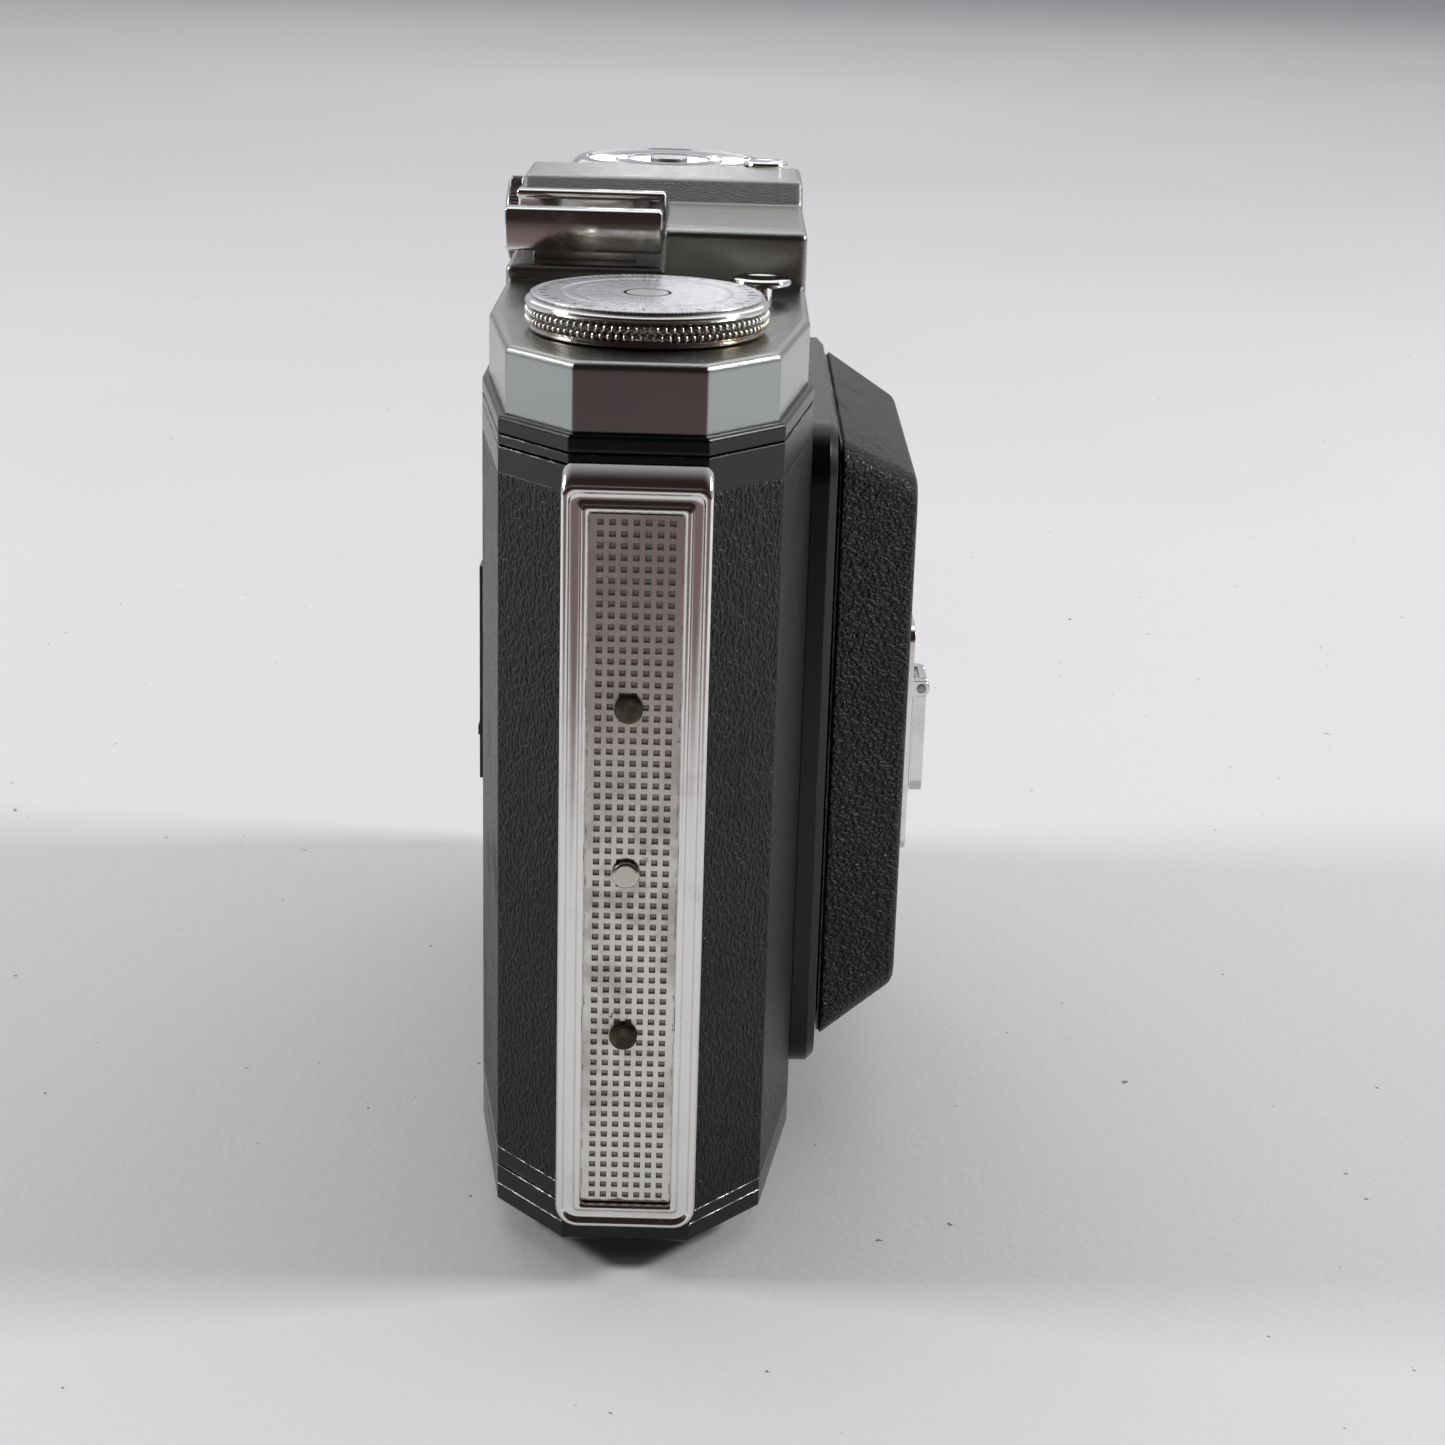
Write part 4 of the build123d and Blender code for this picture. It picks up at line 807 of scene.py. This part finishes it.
def accessory_shoe():
    """Folded shoe: floor, rolled walls and inturned lips, on its plinth."""
    low, high = (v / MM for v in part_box("accessory_shoe"))
    x0, x1, z0, z1 = low.x, high.x, 98.9, high.z
    wall, lip, gap = 0.9, 1.0, 14.0
    mid = (x0 + x1) / 2
    section = [
        (x0, z0), (x1, z0), (x1, z1), (mid + gap / 2, z1), (mid + gap / 2, z1 - lip), (x1 - wall, z1 - lip),
        (x1 - wall, z0 + 1.1), (x0 + wall, z0 + 1.1), (x0 + wall, z1 - lip), (mid - gap / 2, z1 - lip),
        (mid - gap / 2, z1), (x0, z1)]
    shoe = extruded("accessory_shoe_folded", section, low.y, high.y - low.y)
    soften(shoe, 0.32, 3, 30)
    bpy.ops.mesh.primitive_cube_add(size=1, location=mm(mid, (low.y + high.y) / 2, 98.15))
    bpy.context.object.scale = mm(12, 12, 1.48)
    plinth = settle("plinth")
    return stand_for(joined([shoe, plinth]), bright_chrome("shoe_chrome", 0.12), "accessory_shoe")


# ---------------------------------------------------------------- bed, bellows, lens


def bed_cover():
    """The bed's leather: a tapered cap with turned edges, hollow over the metal lid."""
    low, high = (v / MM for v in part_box("bed_leather"))
    depth = high.y - low.y
    bpy.ops.mesh.primitive_cube_add(size=1, location=mm((low.x + high.x) / 2, (low.y + high.y) / 2, LENS_Z))
    bpy.context.object.scale = mm(high.x - low.x, depth, high.z - low.z)
    cap = settle("bed_leather_cap")
    share = depth / 9.2
    mark(cap, "verts", lambda p: p.y < low.y + 0.1)
    width, tall = high.x - low.x, high.z - low.z
    bpy.ops.transform.resize(value=((width - 9.8 * share) / width, 1, (tall - 10.6 * share) / tall))
    done(cap)
    mark(cap, "edges", lambda a, b: abs(a.y - b.y) > 5)
    bpy.ops.mesh.bevel(offset=3.0 * MM, segments=7, affect="EDGES")
    done(cap)
    mark(cap, "faces", lambda c, n: n.y > 0.99)
    bpy.ops.mesh.delete(type="FACE")
    done(cap)
    mark(cap, "edges", lambda a, b: a.y < low.y + 0.05 and b.y < low.y + 0.05)
    bpy.ops.mesh.bevel(offset=0.9 * MM, segments=4, affect="EDGES")
    done(cap)
    modify(cap, "SOLIDIFY", thickness=0.42 * MM, offset=-1)
    smooth(cap, 40)
    return stand_for(cap, BED_HIDE, "bed_leather")


def bellows():
    """Pleated leather tube from the film gate to the standard."""
    low, high = (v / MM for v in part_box("bellows"))
    folds, wall = 11, 2.2
    rear, front = high.y, low.y
    bpy.ops.mesh.primitive_plane_add(size=1, location=mm(0, rear, LENS_Z), rotation=(pi / 2, 0, 0))
    bpy.context.object.scale = mm(high.x - low.x, high.z - low.z, 1)
    tube = settle("bellows_pleated")
    mark(tube, "verts", lambda p: True)
    bpy.ops.mesh.bevel(offset=3.0 * MM, segments=3, affect="VERTICES")
    bpy.ops.mesh.delete(type="ONLY_FACE")
    bpy.ops.mesh.select_all(action="SELECT")
    steps = 2 * folds
    step = (front - rear) / steps
    wide, tall = high.x - low.x, high.z - low.z
    for i in range(1, steps + 1):
        share = i / steps
        next_wide = (high.x - low.x) - 6.0 * share - (2 * wall if i % 2 else 0)
        next_tall = (high.z - low.z) - 18.0 * share - (2 * wall if i % 2 else 0)
        bpy.ops.mesh.extrude_edges_move(TRANSFORM_OT_translate={"value": mm(0, step, 0)})
        share_wide, share_tall = next_wide / wide, next_tall / tall
        bpy.ops.transform.resize(value=(share_wide, 1, share_tall), center_override=mm(0, 0, LENS_Z))
        wide, tall = next_wide, next_tall
    done(tube)
    outward(tube)
    modify(tube, "SOLIDIFY", thickness=0.25 * MM, offset=0)
    smooth(tube, 50)
    tube.data.materials.clear()
    tube.data.materials.append(BELLOWS_HIDE)
    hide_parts("bellows")
    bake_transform(tube)
    return tube


def speed_ring():
    """Shutter speed ring with a knurled edge, its axis along Y."""
    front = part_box("speed_ring")[0].y / MM
    ring = turned("speed_ring_knurled", [
        (12.4, 0), (18.4, 0), (18.9, 0.15), (19.2, 0.5), (19.8, 0.6), (19.8, 1.8), (12.4, 1.85),
        (12.4, 0)], 120)
    knurled(ring, lambda c, n: upright(n) and c.xy.length > 19.5, 0.12, 0.2)
    smooth(ring, 24)
    return stand_for(moved(ring, (-90, 0, 0), (0, front, LENS_Z)), SATIN, "speed_ring")


def lens_mount():
    """Front lens cell: stepped, with a knurled grip and fine rings inside."""
    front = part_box("lens_mount")[0].y / MM
    mount = turned("lens_mount_turned", [
        (9.0, 0.9), (9.4, 0.3), (9.9, 0), (10.7, 0), (11.0, 0.3), (11.0, 1.7), (12.0, 1.9), (12.2, 2.1),
        (12.2, 5.2), (12.0, 5.38), (9.0, 5.4), (9.0, 0.9)], 96)
    knurled(mount, lambda c, n: upright(n) and 2.2 < c.z < 5.1 and c.xy.length > 12.09, 0.1, 0.18)
    smooth(mount, 24)
    return stand_for(moved(mount, (-90, 0, 0), (0, front, LENS_Z)), BRIGHT, "lens_mount")


# ---------------------------------------------------------------- studio


def paper_floor():
    """Wide pale paper; glossy rays see it painted dark brown near the viewer, a painted reflection of a dark room
    behind the viewer.
    """
    bpy.ops.mesh.primitive_plane_add(size=12, location=(3.0, 0, -0.003))
    paper = settle("paper_floor")
    f = Finish("white_paper")
    lint = f.n.ramp(f.n.noise(f.at, 480.0, 2.0), 0.765, 0.79)
    cloud = f.n.noise(f.at, 5.0, 3.0)
    tone = f.n.mix(cloud, (0.72, 0.72, 0.725, 1), (0.78, 0.775, 0.775, 1))
    specked = f.n.mix(f.n.math("MULTIPLY", lint, 0.8), tone, (0.12, 0.11, 0.10, 1))
    place = f.n.add("SeparateXYZ")
    f.n.wire(f.at, place.inputs[0])
    # Painted reflection: for glossy rays only, the paper near the viewer turns dark brown, so the chrome mirrors a
    # dark room.
    mirrored = f.n.add("LightPath").outputs["Is Glossy Ray"]
    dark = f.n.math("MULTIPLY", mirrored, f.n.ramp(place.outputs["X"], -0.31, -0.17, 1.0, 0.0))
    f.set(Base_Color=f.n.mix(dark, specked, (0.21, 0.145, 0.14, 1)), Roughness=0.85)
    f.bump(f.n.noise(f.at, 900.0, 4.0), 0.12, 0.6)
    paper.data.materials.append(f.material)
    bpy.ops.mesh.primitive_cylinder_add(vertices=64, radius=0.014, depth=0.0028, location=(0, 0, -0.0016))
    pad = settle("rubber_pad")
    soften(pad, 0.3)
    pad.data.materials.append(ENAMEL)


def soft_light(name, at, size, power, colour=(1, 1, 1)):
    """Square soft box aimed at the middle of the camera."""
    light = bpy.data.lights.new(name, "AREA")
    light.shape, light.size, light.energy, light.color = "SQUARE", size, power, colour
    lamp = bpy.data.objects.new(name, light)
    lamp.location = at
    lamp.rotation_euler = (Vector((0, 0, 0.05)) - Vector(at)).to_track_quat("-Z", "Y").to_euler()
    bpy.context.collection.objects.link(lamp)


def room():
    """White room all round, dark and brownish behind the viewer, where it shows in the chrome."""
    world = bpy.data.worlds.new("room")
    bpy.context.scene.world = world
    world.use_nodes = True
    n = Nodes(world.node_tree)
    way = n.add("SeparateXYZ")
    n.wire(n.add("TexCoord").outputs["Generated"], way.inputs[0])
    behind = n.ramp(way.outputs["X"], -0.35, 0.25, 1.0, 0.0)
    sky = n.mix(behind, (0.93, 0.935, 1.0, 1), (0.05, 0.033, 0.031, 1))
    back = world.node_tree.nodes["Background"]
    n.wire(sky, back.inputs["Color"])
    back.inputs["Strength"].default_value = 0.55


def viewer():
    """The camera that looks at the winding end from a little above the finder."""
    pitch, yaw, roll = 0.322, 0.004, -0.029
    look = Vector((cos(pitch) * cos(yaw), -cos(pitch) * sin(yaw), -sin(pitch)))
    lens = bpy.data.cameras.new("viewer")
    lens.sensor_width, lens.lens = 36.0, 64.96
    lens.clip_start, lens.clip_end = 0.01, 20.0
    eye = bpy.data.objects.new("viewer", lens)
    eye.location = mm(-312.5, -7.94, 142.83)
    eye.rotation_mode = "QUATERNION"
    eye.rotation_quaternion = Quaternion(look, roll) @ look.to_track_quat("-Z", "Y")
    bpy.context.collection.objects.link(eye)
    bpy.context.scene.camera = eye
    bpy.context.scene.view_settings.view_transform = "Standard"


clear()
finish_cad_nodes()
latch_bar()
latch_panel()
wind_knob()
wind_knob_disc()
focus_knob()
eyepiece_ring()
push_button("shutter_button", 3.3, BRIGHT)
push_button("bed_button", 3.0, BRIGHT)
button_spring("shutter_spring")
button_spring("bed_spring")
accessory_shoe()
bed_cover()
bellows()
speed_ring()
lens_mount()
paper_floor()
soft_light("right_box", (0.06, -1.0, 0.66), 0.24, 7.5)
soft_light("left_box", (0.0, 1.0, 0.62), 0.24, 6.0)
soft_light("ceiling", (1.3, 0, 1.6), 2.4, 15.0)
soft_light("near_lamp", (1.6, 0.063, 0.275), 0.05, 0.06)
soft_light("far_lamp", (1.6, 0, 0.275), 0.05, 0.06)
room()
viewer()
